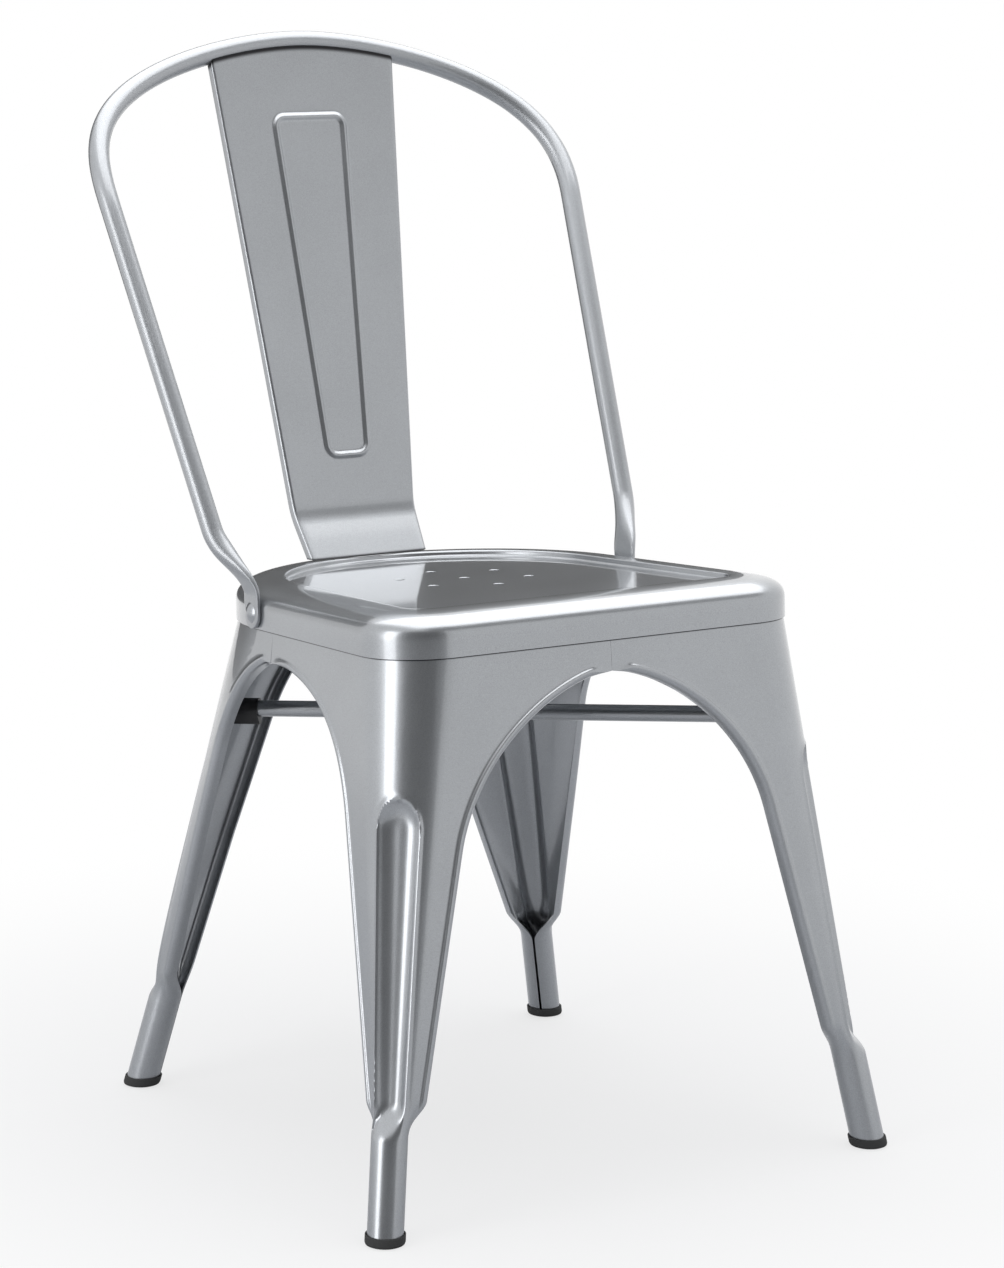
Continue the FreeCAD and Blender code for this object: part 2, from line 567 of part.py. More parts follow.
class Leg:
    """One pressed leg in its own quarter: across and outward (forward or backward) both count positive."""

    def __init__(self, front):
        name = "front" if front else "back"
        self.sign = -1 if front else 1
        inset = size("seat_sheet") + size("skirt_clearance")
        front_corner, back_corner = inset_corners(inset)
        corner = front_corner if front else back_corner
        self.top_corner = (corner[0], abs(corner[1]))
        self.taper = -TAPER if front else TAPER
        self.top_radius = size(name + "_corner_radius") - inset
        self.knee_radius = size(name + "_knee_radius")
        self.foot = (size(name + "_foot_across"), size(name + "_foot_along"))
        self.lean = (size(name + "_foot_lean_across"), size(name + "_foot_lean_along"))
        self.knee = size("knee_height")
        axis = self.axis(self.knee)
        self.knee_corner = (axis[0] + size("foot_radius"), axis[1] + size("foot_radius"))
        self.knee_slope_height = self.knee + SLOPE * self.sign * axis[1]
        self.seam = self.sign * size("side_seam")
        self.face_arch = Arch(name + "_arch")
        self.side_arch = Arch("side_%s_arch" % name)

    def axis(self, height):
        return (self.foot[0] - self.lean[0] * height, self.foot[1] - self.lean[1] * height)

    def section(self, slope_height):
        """Sharp corner and corner radius of the leg's outside at one height of the seat's slope."""
        share = (size("skirt_line") - slope_height) / (size("skirt_line") - self.knee_slope_height)
        corner = V(mix(self.top_corner[0], self.knee_corner[0], share),
                   mix(self.top_corner[1], self.knee_corner[1], share), 0)
        return corner, mix(self.top_radius, self.knee_radius, share)

    def skin(self, run, slope_height):
        """Point and outward direction on the leg's outside. The run starts in the corner's middle and counts
        positive towards the side flank, negative towards the front or back flank."""
        corner, radius = self.section(slope_height)
        face = V(-1, 0, 0)
        flank = V(self.taper, -1, 0).normalize()
        spread = math.acos(face.dot(flank))
        half = radius * (math.pi - spread) / 2
        ahead = flank if run > 0 else face
        inward = (face + flank).normalize()
        centre = corner + inward * (radius / math.sin(spread / 2))
        distance = abs(run)
        if distance > half:
            point = corner + ahead * (radius / math.tan(spread / 2) + distance - half)
            outward = V(-ahead.y, ahead.x, 0)
            if outward.dot(inward) > 0:
                outward = outward * -1
            return point, outward
        turn = distance / radius
        outward = inward * -math.cos(turn)
        sideways = (ahead + inward * -inward.dot(ahead)).normalize()
        outward = outward + sideways * math.sin(turn)
        return centre + outward * radius, outward

    def run_to(self, slope_height, offset, towards_side):
        """Run at which the outside reaches a given distance from the seam's plane."""
        low = 0.0
        high = size("seat_front") + size("seat_back")
        for step in range(HALVINGS):
            middle = (low + high) / 2
            point, outward = self.skin(middle if towards_side else -middle, slope_height)
            value = point.y - self.seam if towards_side else point.x
            if value > offset:
                low = middle
            else:
                high = middle
        return low

    def flute(self, run, height):
        """How far the flute is pressed in at a place on the corner."""
        top = size("flute_top")
        tip = size("flute_tip")
        if height >= top or height <= tip:
            return 0.0
        half = mix(size("flute_top_width"), size("flute_tip_width"), (top - height) / (top - tip)) / 2
        end = size("flute_end")
        from_top = (top - height) / end
        from_tip = (height - tip) / end
        if from_top < 1:
            half = half * math.sqrt(1 - (1 - from_top) ** 2)
        if from_tip < 1:
            half = half * math.sqrt(1 - (1 - from_tip) ** 2)
        if abs(run) >= half:
            return 0.0
        return size("flute_depth") * min(from_top, from_tip, 1.0) * (1 - (run / half) ** 2)

    def edge(self, side, kind, share):
        """Edge point (offset, slope height), inward direction in the sheet and roll radius of one row."""
        arch = self.side_arch if side else self.face_arch
        top = size("skirt_line") + size("leg_lap")
        seam_end = size("arch_height") + size("seam_roll")
        if kind == "seam":
            return V(size("seam_gap") / 2, mix(top, seam_end, share), 0), V(1, 0, 0), size("seam_roll")
        point, along = arch.at(share if kind == "arch" else 1 + share, self.knee_slope_height)
        opening = smooth(share / size("roll_opening")) if kind == "arch" else 1.0
        return point, V(-along.y, along.x, 0), mix(size("seam_roll"), size("edge_roll"), opening)

    def half_row(self, side, kind, share, corner_height):
        """Points from one edge of the leg to its corner's middle."""
        point, inward, roll = self.edge(side, kind, share)
        sign = 1 if side else -1
        places = []
        for index in range(FLANGE_COLUMNS, 0, -1):
            places.append((point, roll + size("edge_flange") * index / FLANGE_COLUMNS))
        for index in range(ROLL_COLUMNS):
            angle = math.pi / 2 * (1 - index / ROLL_COLUMNS)
            places.append((point + inward * (roll * (1 - math.sin(angle))), roll * (1 - math.cos(angle))))
        found = []
        for place, depth in places:
            run = self.run_to(place.y, place.x, side)
            spot, outward = self.skin(sign * run, place.y)
            found.append((spot - outward * depth, place.y))
        start = point + inward * roll
        start_run = self.run_to(start.y, start.x, side)
        flute_half = size("flute_top_width") / 2
        for index in range(FLANK_COLUMNS + FLUTE_COLUMNS + 1):
            if index <= FLANK_COLUMNS:
                run = mix(start_run, flute_half, index / FLANK_COLUMNS)
            else:
                run = flute_half * (1 - (index - FLANK_COLUMNS) / FLUTE_COLUMNS)
            level = mix(corner_height, start.y, run / start_run)
            spot, outward = self.skin(sign * run, level)
            real = real_height(level, self.sign * spot.y)
            found.append((spot - outward * self.flute(run, real), level))
        return found

    def row(self, kind, share, corner_height):
        """One row of points of the open part of the leg, from its side edge to its front or back edge."""
        side_half = self.half_row(True, kind, share, corner_height)
        face_half = self.half_row(False, kind, share, corner_height)
        joined = side_half + list(reversed(face_half))[1:]
        line = []
        for spot, level in joined:
            line.append(V(spot.x, self.sign * spot.y, real_height(level, self.sign * spot.y)))
        return line

    def tube_row(self, height, columns):
        """One level ring of the foot tube, from its slit round the outside and back."""
        radius = size("foot_radius")
        axis = self.axis(height)
        gap = size("slit_width") / 2 / radius
        line = []
        for share in columns:
            angle = math.pi / 4 + (math.pi - gap) * share
            across = axis[0] + radius * math.cos(angle)
            along = axis[1] + radius * math.sin(angle)
            line.append(V(across, self.sign * along, height))
        return line

    def grid(self):
        """Rows of points over the outside of the leg, from its top edge to the bottom of its foot."""
        rows = []
        top = size("skirt_line") + size("leg_lap")
        knee = self.knee_slope_height
        bend = (self.side_arch.end.y + self.face_arch.end.y) / 2
        corner_seam = mix(top, bend, SEAM_SHARE)
        for index in range(SEAM_ROWS):
            share = index / (SEAM_ROWS - 1)
            rows.append(self.row("seam", share, mix(top, corner_seam, share)))
        for index in range(1, ARCH_ROWS + 1):
            share = index / ARCH_ROWS
            share = share * mix(ARCH_ROWS_START, 1.0, share)
            rows.append(self.row("arch", share, mix(corner_seam, bend, share)))
        for index in range(1, STRAIGHT_ROWS + 1):
            share = index / STRAIGHT_ROWS
            rows.append(self.row("straight", share, mix(bend, knee, share)))
        last = rows[-1]
        before = rows[-2]
        lengths = [0.0]
        for first, second in zip(last, last[1:]):
            lengths.append(lengths[-1] + (second - first).Length)
        columns = [2 * length / lengths[-1] - 1 for length in lengths]
        for index in range(1, CLOSING_ROWS + 1):
            share = index / CLOSING_ROWS
            height = mix(self.knee, size("tube_height"), share)
            ring = self.tube_row(height, columns)
            line = []
            for target, spot, above in zip(ring, last, before):
                slope = (spot - above) * (1 / max(above.z - spot.z, 0.1))
                carried = spot + slope * (self.knee - height)
                line.append(carried * (1 - smooth(share)) + target * smooth(share))
            rows.append(line)
        for index in range(1, TUBE_ROWS + 1):
            height = mix(size("tube_height"), size("cap_floor"), index / TUBE_ROWS)
            rows.append(self.tube_row(height, columns))
        return outward_grid(rows, V(1, self.sign, 0))


LEGS = {"front": Leg(True), "rear": Leg(False)}


def make_legs():
    for name, leg in LEGS.items():
        right = thin_sheet(leg.grid(), size("leg_sheet"))
        for side_name, side in SIDES:
            add_computed("leg_%s_%s" % (name, side_name), mirrored_left(right, side))


# Foot caps

def make_foot_caps():
    for end_name, end in ENDS:
        name = "front" if end < 0 else "back"
        for side_name, side in SIDES:
            body = new_body("foot_cap_%s_%s" % (end_name, side_name), SHIFTED)

            def section(label, height, radius):
                place = "%d * (sizes.%s_foot_%s - sizes.%s_foot_lean_%s * (%s))"
                across = place % (side, name, "across", name, "across", height)
                along = place % (end, name, "along", name, "along", height)
                sketch = new_sketch(body, label, offsets=(("x", across), ("y", along), ("z", height)))
                add_circle(sketch, radius, CAP_RADIUS)
                return sketch

            outer = "sizes.foot_radius + sizes.cap_clearance + sizes.cap_wall"
            inner = "sizes.foot_radius + sizes.cap_clearance"
            block = body.newObject("PartDesign::AdditiveLoft", body.Name + "_block")
            low = section("base", "0", outer)
            high = section("rim", "sizes.cap_height", outer)
            block.Profile = low
            block.Sections = [high]
            block.Ruled = True
            doc.recompute()
            cavity = body.newObject("PartDesign::SubtractiveLoft", body.Name + "_cavity")
            inner_low = section("floor", "sizes.cap_floor", inner)
            inner_high = section("mouth", "sizes.cap_height", inner)
            cavity.Profile = inner_low
            cavity.Sections = [inner_high]
            cavity.Ruled = True
            doc.recompute()
            fillet(body, cavity, "round", "sizes.cap_round", level_edges(0))


# Back hoop

def arc_between(start, corner, end):
    """Arc from start to end, tangent to the two lines that meet in the corner."""
    before = (corner - start).normalize()
    after = (end - corner).normalize()
    turn = math.acos(min(1.0, before.dot(after)))
    middle = (start + end) * 0.5
    towards = (middle - corner).normalize()
    return Part.Arc(start, corner + towards * ((corner - start).Length * math.tan(turn / 4)), end)


def biarc(first, first_direction, last, last_direction):
    """Two tangent arcs from one point and direction to another."""
    apart = last - first
    total = first_direction + last_direction
    facing = 2 * (1 - first_direction.dot(last_direction))
    along = apart.dot(total)
    reach = (math.sqrt(along * along + facing * apart.dot(apart)) - along) / facing
    near = first + first_direction * reach
    far = last - last_direction * reach
    joint = (near + far) * 0.5
    return [arc_between(first, near, joint), arc_between(joint, far, last)]


SHOULDER_ARCS = 8
# Sections of the bend: share of its curve, and -1 or 1 where it laps over the tube or over the tab
BEND_SECTIONS = ((0, -1), (0, 0), (0.12, 0), (0.3, 0), (0.5, 0), (0.7, 0), (0.88, 0), (1, 0), (1, 1))
HOOP_DOWN = V(-size("hoop_lean_across"), -size("hoop_lean_back"), -1).normalize()
SHOULDER = V(size("shoulder_across"), size("shoulder_back"), size("shoulder_height"))
HOOP_TOP = V(0, size("hoop_top_back"), size("hoop_top_height"))
HOOP_CORNER = HOOP_TOP + V(size("shoulder_across") - size("corner_inset"), -size("corner_forward"),
                           -size("corner_drop"))
HOOP_CURVE = (SHOULDER, SHOULDER - HOOP_DOWN * size("shoulder_handle"), HOOP_CORNER,
              HOOP_TOP + V(size("top_handle"), 0, 0), HOOP_TOP)


def tab_top():
    """Middle of the upper end of the right tab's flat."""
    return side_frame().multVec(V(size("tab_thickness") / 2, 0, size("tab_top") - size("rivet_height")))


def hoop_bend_start():
    """Lower end of the hoop's straight side."""
    fall = size("shoulder_height") - tab_top().z - size("hoop_bend_rise")
    return SHOULDER + HOOP_DOWN * (fall / -HOOP_DOWN.z)


def hoop_direction(share):
    """Direction of the hoop's curve from the shoulder towards the top."""
    before = bezier(HOOP_CURVE[:-1], share)
    after = bezier(HOOP_CURVE[1:], share)
    return (after - before).normalize()


def hoop_path():
    """The tube's path: straight sides joined by tangent arcs over the shoulders and the top."""
    half = [Part.LineSegment(hoop_bend_start(), SHOULDER)]
    for index in range(SHOULDER_ARCS):
        first = index / SHOULDER_ARCS
        last = (index + 1) / SHOULDER_ARCS
        half.extend(biarc(bezier(HOOP_CURVE, first), hoop_direction(first), bezier(HOOP_CURVE, last),
                          hoop_direction(last)))
    edges = [curve.toShape() for curve in half]
    other = [mirrored_left(edge, -1) for edge in reversed(edges)]
    return Part.Wire(Part.__sortEdges__(edges + other))


def four_sided(centre, wide, thick, half_width, half_thickness, bulge):
    """Section with four corners: a circle's quarters where the bulge is 1, a rectangle where it is 0."""
    quarter = math.sqrt(0.5)
    reach_width = half_width * mix(1.0, quarter, bulge)
    reach_thick = half_thickness * mix(1.0, quarter, bulge)
    corners = [centre + wide * (a * reach_width) + thick * (b * reach_thick)
               for a, b in ((1, 1), (-1, 1), (-1, -1), (1, -1))]
    tops = (centre + thick * half_thickness, centre - wide * half_width, centre - thick * half_thickness,
            centre + wide * half_width)
    edges = []
    for index, top in enumerate(tops):
        first = corners[index]
        last = corners[(index + 1) % 4]
        if bulge > 0:
            edges.append(Part.Arc(first, top, last).toShape())
        else:
            edges.append(Part.LineSegment(first, last).toShape())
    return Part.Wire(edges)


def hoop_end():
    """Right end of the hoop: the tube turns in, flattens and ends in a rounded tab on the skirt."""
    frame = side_frame()
    thickness = size("tab_thickness")
    top = tab_top()
    down = frame.Rotation.multVec(V(0, 0, -1))
    along = frame.Rotation.multVec(V(0, 1, 0))
    start = hoop_bend_start()
    length = (top - start).Length
    curve = (start, start + HOOP_DOWN * (size("hoop_bend_handle") * length),
             top - down * (size("tab_handle") * length), top)
    flat_from = size("flattening_start")
    extra = size("bend_step")
    round_radius = size("hoop_radius") + extra
    sections = []
    for share, lap in BEND_SECTIONS:
        near = bezier(curve, min(share + CURVE_STEP, 1))
        far = bezier(curve, max(share - CURVE_STEP, 0))
        direction = (near - far).normalize()
        place = bezier(curve, share) + direction * (size("bend_overlap") * lap)
        wide = (along - direction * along.dot(direction)).normalize()
        thick = direction.cross(wide).normalize()
        flat = smooth((share - flat_from) / (1 - flat_from))
        half_width = mix(round_radius, size("tab_width") / 2 + extra, flat)
        half_thickness = mix(round_radius, thickness / 2 + extra, flat)
        sections.append(four_sided(place, wide, thick, half_width, half_thickness, 1 - flat))
    end = Part.makeLoft(sections, True, False)
    plate = Part.makeBox(thickness, size("tab_width"), size("tab_top") - size("rivet_height"),
                         V(0, -size("tab_width") / 2, 0))
    disc = Part.makeCylinder(size("tab_width") / 2, thickness, V(0, 0, 0), V(1, 0, 0))
    hole = Part.makeCylinder(size("rivet_radius") + size("rivet_clearance"), 3 * thickness,
                             V(-thickness, 0, 0), V(1, 0, 0))
    plate = plate.fuse(disc).removeSplitter().cut(hole)
    plate.Placement = frame
    return end.fuse(plate)


def make_hoop():
    path = hoop_path()
    start = hoop_bend_start()
    tube = None
    for radius in (size("hoop_radius"), size("hoop_radius") - size("hoop_wall")):
        ring = Part.Wire(Part.makeCircle(radius, start, HOOP_DOWN * -1))
        pipe = path.makePipeShell([ring], True, False)
        tube = pipe if tube is None else tube.cut(pipe)
    right = hoop_end()
    ends = [mirrored_left(right, side).Solids[0] for name, side in SIDES]
    hoop = tube.Solids[0].fuse(ends)
    print("hoop tube", tube.Volume, "section times length",
          math.pi * (size("hoop_radius") ** 2 - (size("hoop_radius") - size("hoop_wall")) ** 2) * path.Length)
    solids = hoop.Solids
    return add_computed("back_hoop", solids[0] if len(solids) == 1 else hoop)


# Back splat

def hoop_at(across):
    """Point of the hoop's axis at a distance across from the middle."""
    low = 0.0
    high = 1.0
    for step in range(HALVINGS):
        middle = (low + high) / 2
        if bezier(HOOP_CURVE, middle).x > across:
            low = middle
        else:
            high = middle
    return bezier(HOOP_CURVE, low)


class SplatLine:
    """Side view of the splat at one distance across: foot, bend and the straight up to the hoop."""

    def __init__(self, across):
        axis = hoop_at(across)
        reach = size("hoop_radius") + size("splat_clearance")
        drop = math.sqrt(reach * reach - size("splat_setback") ** 2)
        self.axis = axis
        self.foot = V(0, size("splat_foot_back"), self.crest(size("splat_foot_back")))
        self.bend = V(0, size("splat_bend_back"), size("splat_bend_height"))
        self.top = V(0, axis.y - size("splat_setback"), axis.z - drop)
        self.low = (self.bend - self.foot).normalize()
        self.high = (self.top - self.bend).normalize()
        self.turn = math.acos(self.low.dot(self.high))
        self.reach = size("splat_bend_radius") * math.tan(self.turn / 2)
        self.low_length = (self.bend - self.foot).Length - self.reach
        self.arc_length = size("splat_bend_radius") * self.turn
        self.length = self.low_length + self.arc_length + (self.top - self.bend).Length - self.reach

    def crest(self, along):
        """Height just above the seat's rim."""
        return real_height(size("skirt_line") + size("skirt_height"), along) + size("splat_clearance")

    def at(self, run, depth):
        """Point at a run up from the foot, moved back from the face by a depth."""
        if run < self.low_length:
            direction = self.low
            point = self.foot + direction * run
        elif run < self.low_length + self.arc_length:
            turned = (run - self.low_length) / size("splat_bend_radius")
            start_angle = math.atan2(self.low.z, self.low.y)
            angle = start_angle + turned
            direction = V(0, math.cos(angle), math.sin(angle))
            start = self.foot + self.low * self.low_length
            centre = start + V(0, -self.low.z, self.low.y) * size("splat_bend_radius")
            point = centre + V(0, math.sin(angle), -math.cos(angle)) * size("splat_bend_radius")
        else:
            direction = self.high
            point = self.top - direction * (self.length - run)
        back = V(0, direction.z, -direction.y)
        return point + back * depth

    def lowest_run(self, depth):
        """Run at which a line at this depth clears the seat's rim."""
        low = 0.0
        high = self.length / 2
        for step in range(HALVINGS):
            middle = (low + high) / 2
            point = self.at(middle, depth)
            if point.z < self.crest(point.y):
                low = middle
            else:
                high = middle
        return high

    def highest_run(self, depth):
        """Run at which a line at this depth meets the hoop's clearance."""
        reach = size("hoop_radius") + size("splat_clearance")
        low = self.length / 2
        high = self.length + reach
        for step in range(HALVINGS):
            middle = (low + high) / 2
            point = self.at(middle, depth)
            if math.hypot(point.y - self.axis.y, point.z - self.axis.z) > reach and middle < self.length + 1:
                low = middle
            else:
                high = middle
        return min(low, self.length)


SPLAT_ROWS = 26
SPLAT_ROWS_START = 0.35
SPLAT_HALF_COLUMNS = 7
FOLD_COLUMNS = 5


def splat_grid():
    fold = size("splat_fold_radius")
    top_half = size("splat_top_half_width")
    foot_half = size("splat_foot_half_width")
    places = [(0.0, fold + size("splat_fold")), (0.0, fold + size("splat_fold") / 2)]
    for index in range(FOLD_COLUMNS):
        angle = math.pi / 2 * (1 - index / FOLD_COLUMNS)
        places.append((fold * (1 - math.sin(angle)), fold * (1 - math.cos(angle))))
    for index in range(SPLAT_HALF_COLUMNS + 1):
        places.append((mix(fold, foot_half, index / SPLAT_HALF_COLUMNS), 0.0))
    columns = [(inset, depth, -1) for inset, depth in places]
    columns.extend((inset, depth, 1) for inset, depth in reversed(places[:-1]))
    rows = []
    for index in range(SPLAT_ROWS + 1):
        share = index / SPLAT_ROWS
        share = share * mix(SPLAT_ROWS_START, 1.0, share)
        line = []
        for inset, depth, side in columns:
            inner = inset / foot_half
            folded = inset <= fold
            profile = SplatLine(top_half - inset if folded else top_half * (1 - inner))
            run = mix(profile.lowest_run(depth + size("splat_sheet")), profile.highest_run(depth), share)
            point = profile.at(run, depth)
            level = (point.z - profile.foot.z) / (profile.top.z - profile.foot.z)
            half = mix(foot_half, top_half, level)
            across = half - inset if folded else half * (1 - inner)
            line.append(V(side * across, point.y, point.z))
        rows.append(line)
    return outward_grid(rows, V(0, -1, 0))


def make_splat():
    return add_computed("back_splat", thin_sheet(splat_grid(), size("splat_sheet")))


# Brace

def brace_line(number):
    """Middle and direction of one brace tube. The second one runs below the first, across it."""
    turn = math.radians(size("brace_turn"))
    along = size("brace_centre")
    side = -1 if number == 0 else 1
    direction = V(side * math.cos(turn), math.sin(turn), -SLOPE * math.sin(turn)).normalize()
    drop = number * (2 * size("brace_radius") + size("brace_clearance"))
    return V(0, along, real_height(size("brace_height"), along) - drop), direction


def make_brace():
    gap = size("brace_clearance")
    cutters = []
    for leg in LEGS.values():
        right = thin_sheet(leg.grid(), size("leg_sheet") + gap)
        cutters.extend((right, mirrored_left(right, -1)))
    reach = size("seat_front") + size("seat_back")
    for number, label in enumerate(("brace_main", "brace_cross")):
        middle, direction = brace_line(number)
        start = middle - direction * reach
        rod = Part.makeCylinder(size("brace_radius"), 2 * reach, start, direction)
        bore = Part.makeCylinder(size("brace_radius") - size("brace_wall"), 2 * reach, start, direction)
        tube = rod.cut(bore).cut(cutters)
        kept = min(tube.Solids, key=lambda solid: (solid.BoundBox.Center - middle).Length)
        add_computed(label, kept)


def make_bumpers():
    """Plastic bumper on each end of the brace tubes: a sleeve with a pointed lower side."""
    for number in (0, 1):
        middle, direction = brace_line(number)
        for end_name, end in ENDS:
            side = end * (-1 if number == 0 else 1)
            side_name = "right" if side > 0 else "left"
            turn = math.radians(size("brace_turn"))
            across_place = size(end_name + "_bumper_place")
            place = middle + direction * (end * across_place / math.cos(turn))
            down = V(0, 0, -1)
            across = direction.cross(down).normalize()
            hang = across.cross(direction).normalize()
            turned = FreeCAD.Rotation(across, hang, direction, "ZXY")
            base = place - direction * (size("bumper_length") / 2) + SHIFT
            body = new_body("brace_cap_%s_%s" % (end_name, side_name), FreeCAD.Placement(base, turned))
            sketch = new_sketch(body, "profile")
            outer = size("brace_radius") + size("bumper_wall")
            tip = size("bumper_tip")
            low = -size("bumper_drop") + tip
            lean = math.asin((outer - tip) / -low)
            right = V(outer * math.cos(lean), -outer * math.sin(lean), 0)
            tip_right = V(tip * math.cos(lean), low - tip * math.sin(lean), 0)
            left = V(-right.x, right.y, 0)
            tip_left = V(-tip_right.x, tip_right.y, 0)
            upper = sketch.addGeometry(Part.Arc(right, V(0, outer, 0), left))
            left_line = sketch.addGeometry(Part.LineSegment(left, tip_left))
            lower = sketch.addGeometry(Part.Arc(tip_left, V(0, -size("bumper_drop"), 0), tip_right))
            right_line = sketch.addGeometry(Part.LineSegment(tip_right, right))
            loop = (upper, left_line, lower, right_line)
            for index, edge in enumerate(loop):
                following = loop[(index + 1) % 4]
                rule(sketch, "Tangent", (edge, nearest_end(sketch, edge, following), following,
                                         nearest_end(sketch, following, edge)))
            rule(sketch, "Coincident", (upper, 3, -1, 1))
            rule(sketch, "PointOnObject", (lower, 3, -2))
            rule(sketch, "DistanceY", (lower, 3, -1, 1), "sizes.bumper_drop - sizes.bumper_tip", -low)
            rule(sketch, "Radius", (upper,), "sizes.brace_radius + sizes.bumper_wall", outer)
            rule(sketch, "Radius", (lower,), "sizes.bumper_tip", tip)
            sleeve = pad(body, sketch, "sleeve", "sizes.bumper_length")
            doc.recompute()
            bore = body.newObject("PartDesign::Pocket", body.Name + "_bore")
            bore_sketch = new_sketch(body, "bore_circle")
            add_circle(bore_sketch, "sizes.brace_radius + sizes.bumper_clearance", size("brace_radius"))
            bore.Profile = bore_sketch
            bore.Type = "ThroughAll"
            bore.Reversed = True
            doc.recompute()
            if bore.Shape.Volume >= sleeve.Shape.Volume:
                raise RuntimeError("the bumper's bore cut nothing")


# Rivets and their washers

def skirt_place(side, outward):
    """Placement on the rivet's axis, z outward, at a distance outward of the skirt's face."""
    frame = side_frame()
    base = frame.multVec(V(outward, 0, 0))
    axis = frame.Rotation.multVec(V(1, 0, 0))
    base.x = base.x * side
    axis.x = axis.x * side
    return FreeCAD.Placement(base + SHIFT, FreeCAD.Rotation(V(0, 0, 1), axis))


def make_rivets():
    for side_name, side in SIDES:
        label = "hoop_rivet_" + side_name
        stack = "(sizes.seat_sheet + sizes.washer_clearance + sizes.washer_thickness)"
        shank = doc.addObject("Part::Cylinder", label + "_shank")
        shank.setExpression("Radius", "sizes.rivet_radius")
        shank.setExpression("Height", "sizes.tab_thickness + " + stack)
        shank.setExpression("Placement.Base.z", "-" + stack)
        tail = doc.addObject("Part::Cylinder", label + "_tail")
        tail.setExpression("Radius", "sizes.rivet_tail_radius")
        tail.setExpression("Height", "sizes.rivet_tail_height")
        tail.setExpression("Placement.Base.z", "-%s - sizes.rivet_tail_height" % stack)
        dome = "sizes.rivet_head_height"
        ball_radius = "(sizes.rivet_head_radius ^ 2 + %s ^ 2) / (2 * %s)" % (dome, dome)
        ball = doc.addObject("Part::Sphere", label + "_ball")
        ball.setExpression("Radius", ball_radius)
        ball.setExpression("Placement.Base.z", "sizes.tab_thickness + %s - %s" % (dome, ball_radius))
        disc = doc.addObject("Part::Cylinder", label + "_disc")
        disc.setExpression("Radius", "sizes.rivet_head_radius + sizes.rivet_radius")
        disc.setExpression("Height", "sizes.rivet_head_height * 2")
        disc.setExpression("Placement.Base.z", "sizes.tab_thickness")
        head = doc.addObject("Part::Common", label + "_head")
        head.Base = ball
        head.Tool = disc
        rivet = doc.addObject("Part::MultiFuse", label)
        rivet.Label = label
        rivet.Shapes = [shank, tail, head]
        doc.recompute()
        rivet.Placement = skirt_place(side, 0)
        pieces.append(rivet)
        depth = size("seat_sheet") + size("washer_clearance") + size("washer_thickness")
        washer = new_body("rivet_washer_" + side_name, skirt_place(side, -depth))
        ring = new_sketch(washer, "ring")
        add_circle(ring, "sizes.washer_radius", size("washer_radius"))
        add_circle(ring, "sizes.rivet_radius + sizes.rivet_clearance", size("rivet_radius"))
        pad(washer, ring, "disc", "sizes.washer_thickness")


make_seat()
make_legs()
make_foot_caps()
make_hoop()
make_splat()
make_brace()
make_bumpers()
make_rivets()
doc.recompute()

for item in doc.Objects:
    if "Invalid" in item.State or "Error" in item.State:
        raise RuntimeError("%s did not compute: %s" % (item.Label, item.State))
for piece in pieces:
    shape = piece.Shape
    if shape.isNull() or not shape.isValid() or not shape.Solids:
        raise RuntimeError("%s has no sound shape" % piece.Label)

os.makedirs("parts", exist_ok=True)
for piece in pieces:
    shape = piece.Shape
    shape.exportStep("parts/%s.step" % piece.Label)
    box = shape.BoundBox
    spans = (box.XMin, box.XMax, box.YMin, box.YMax, box.ZMin, box.ZMax)
    print("%-20s solids %d volume %9.0f  x %7.1f %7.1f  y %7.1f %7.1f  z %6.1f %6.1f" % (
        (piece.Label, len(shape.Solids), shape.Volume) + spans))
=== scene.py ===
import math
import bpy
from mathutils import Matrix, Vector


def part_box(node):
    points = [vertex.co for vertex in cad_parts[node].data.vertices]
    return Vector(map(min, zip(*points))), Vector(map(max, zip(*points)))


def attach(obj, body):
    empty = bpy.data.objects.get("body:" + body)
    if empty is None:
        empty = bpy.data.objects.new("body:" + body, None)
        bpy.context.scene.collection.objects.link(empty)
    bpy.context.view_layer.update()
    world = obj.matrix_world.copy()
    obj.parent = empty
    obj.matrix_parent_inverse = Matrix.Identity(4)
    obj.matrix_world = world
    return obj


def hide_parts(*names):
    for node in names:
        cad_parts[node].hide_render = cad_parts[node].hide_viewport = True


bl_info = {
    "name": "Metal bistro chair",
    "version": (1, 0, 0),
    "blender": (4, 5, 0),
    "location": "3D View > Sidebar > Chair",
    "description": "Dresses the solid model of a stacking metal chair with its pressed forms and its paint",
    "category": "Add Mesh",
}

import bmesh
import bpy
from bpy.props import FloatProperty, FloatVectorProperty, PointerProperty
from mathutils import Matrix, Vector

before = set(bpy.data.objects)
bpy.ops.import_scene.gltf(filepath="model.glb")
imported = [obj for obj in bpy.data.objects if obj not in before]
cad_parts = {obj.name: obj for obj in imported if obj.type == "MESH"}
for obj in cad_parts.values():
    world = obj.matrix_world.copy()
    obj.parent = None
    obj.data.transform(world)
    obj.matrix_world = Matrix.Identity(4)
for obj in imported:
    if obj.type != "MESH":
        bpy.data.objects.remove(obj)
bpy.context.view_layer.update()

# Sizes are millimetres about a working origin on the floor, with y backwards and the right side at positive x
MM = 0.001
# Added to a working y, it gives the solid model's own y
ORIGIN_SHIFT = -42.463

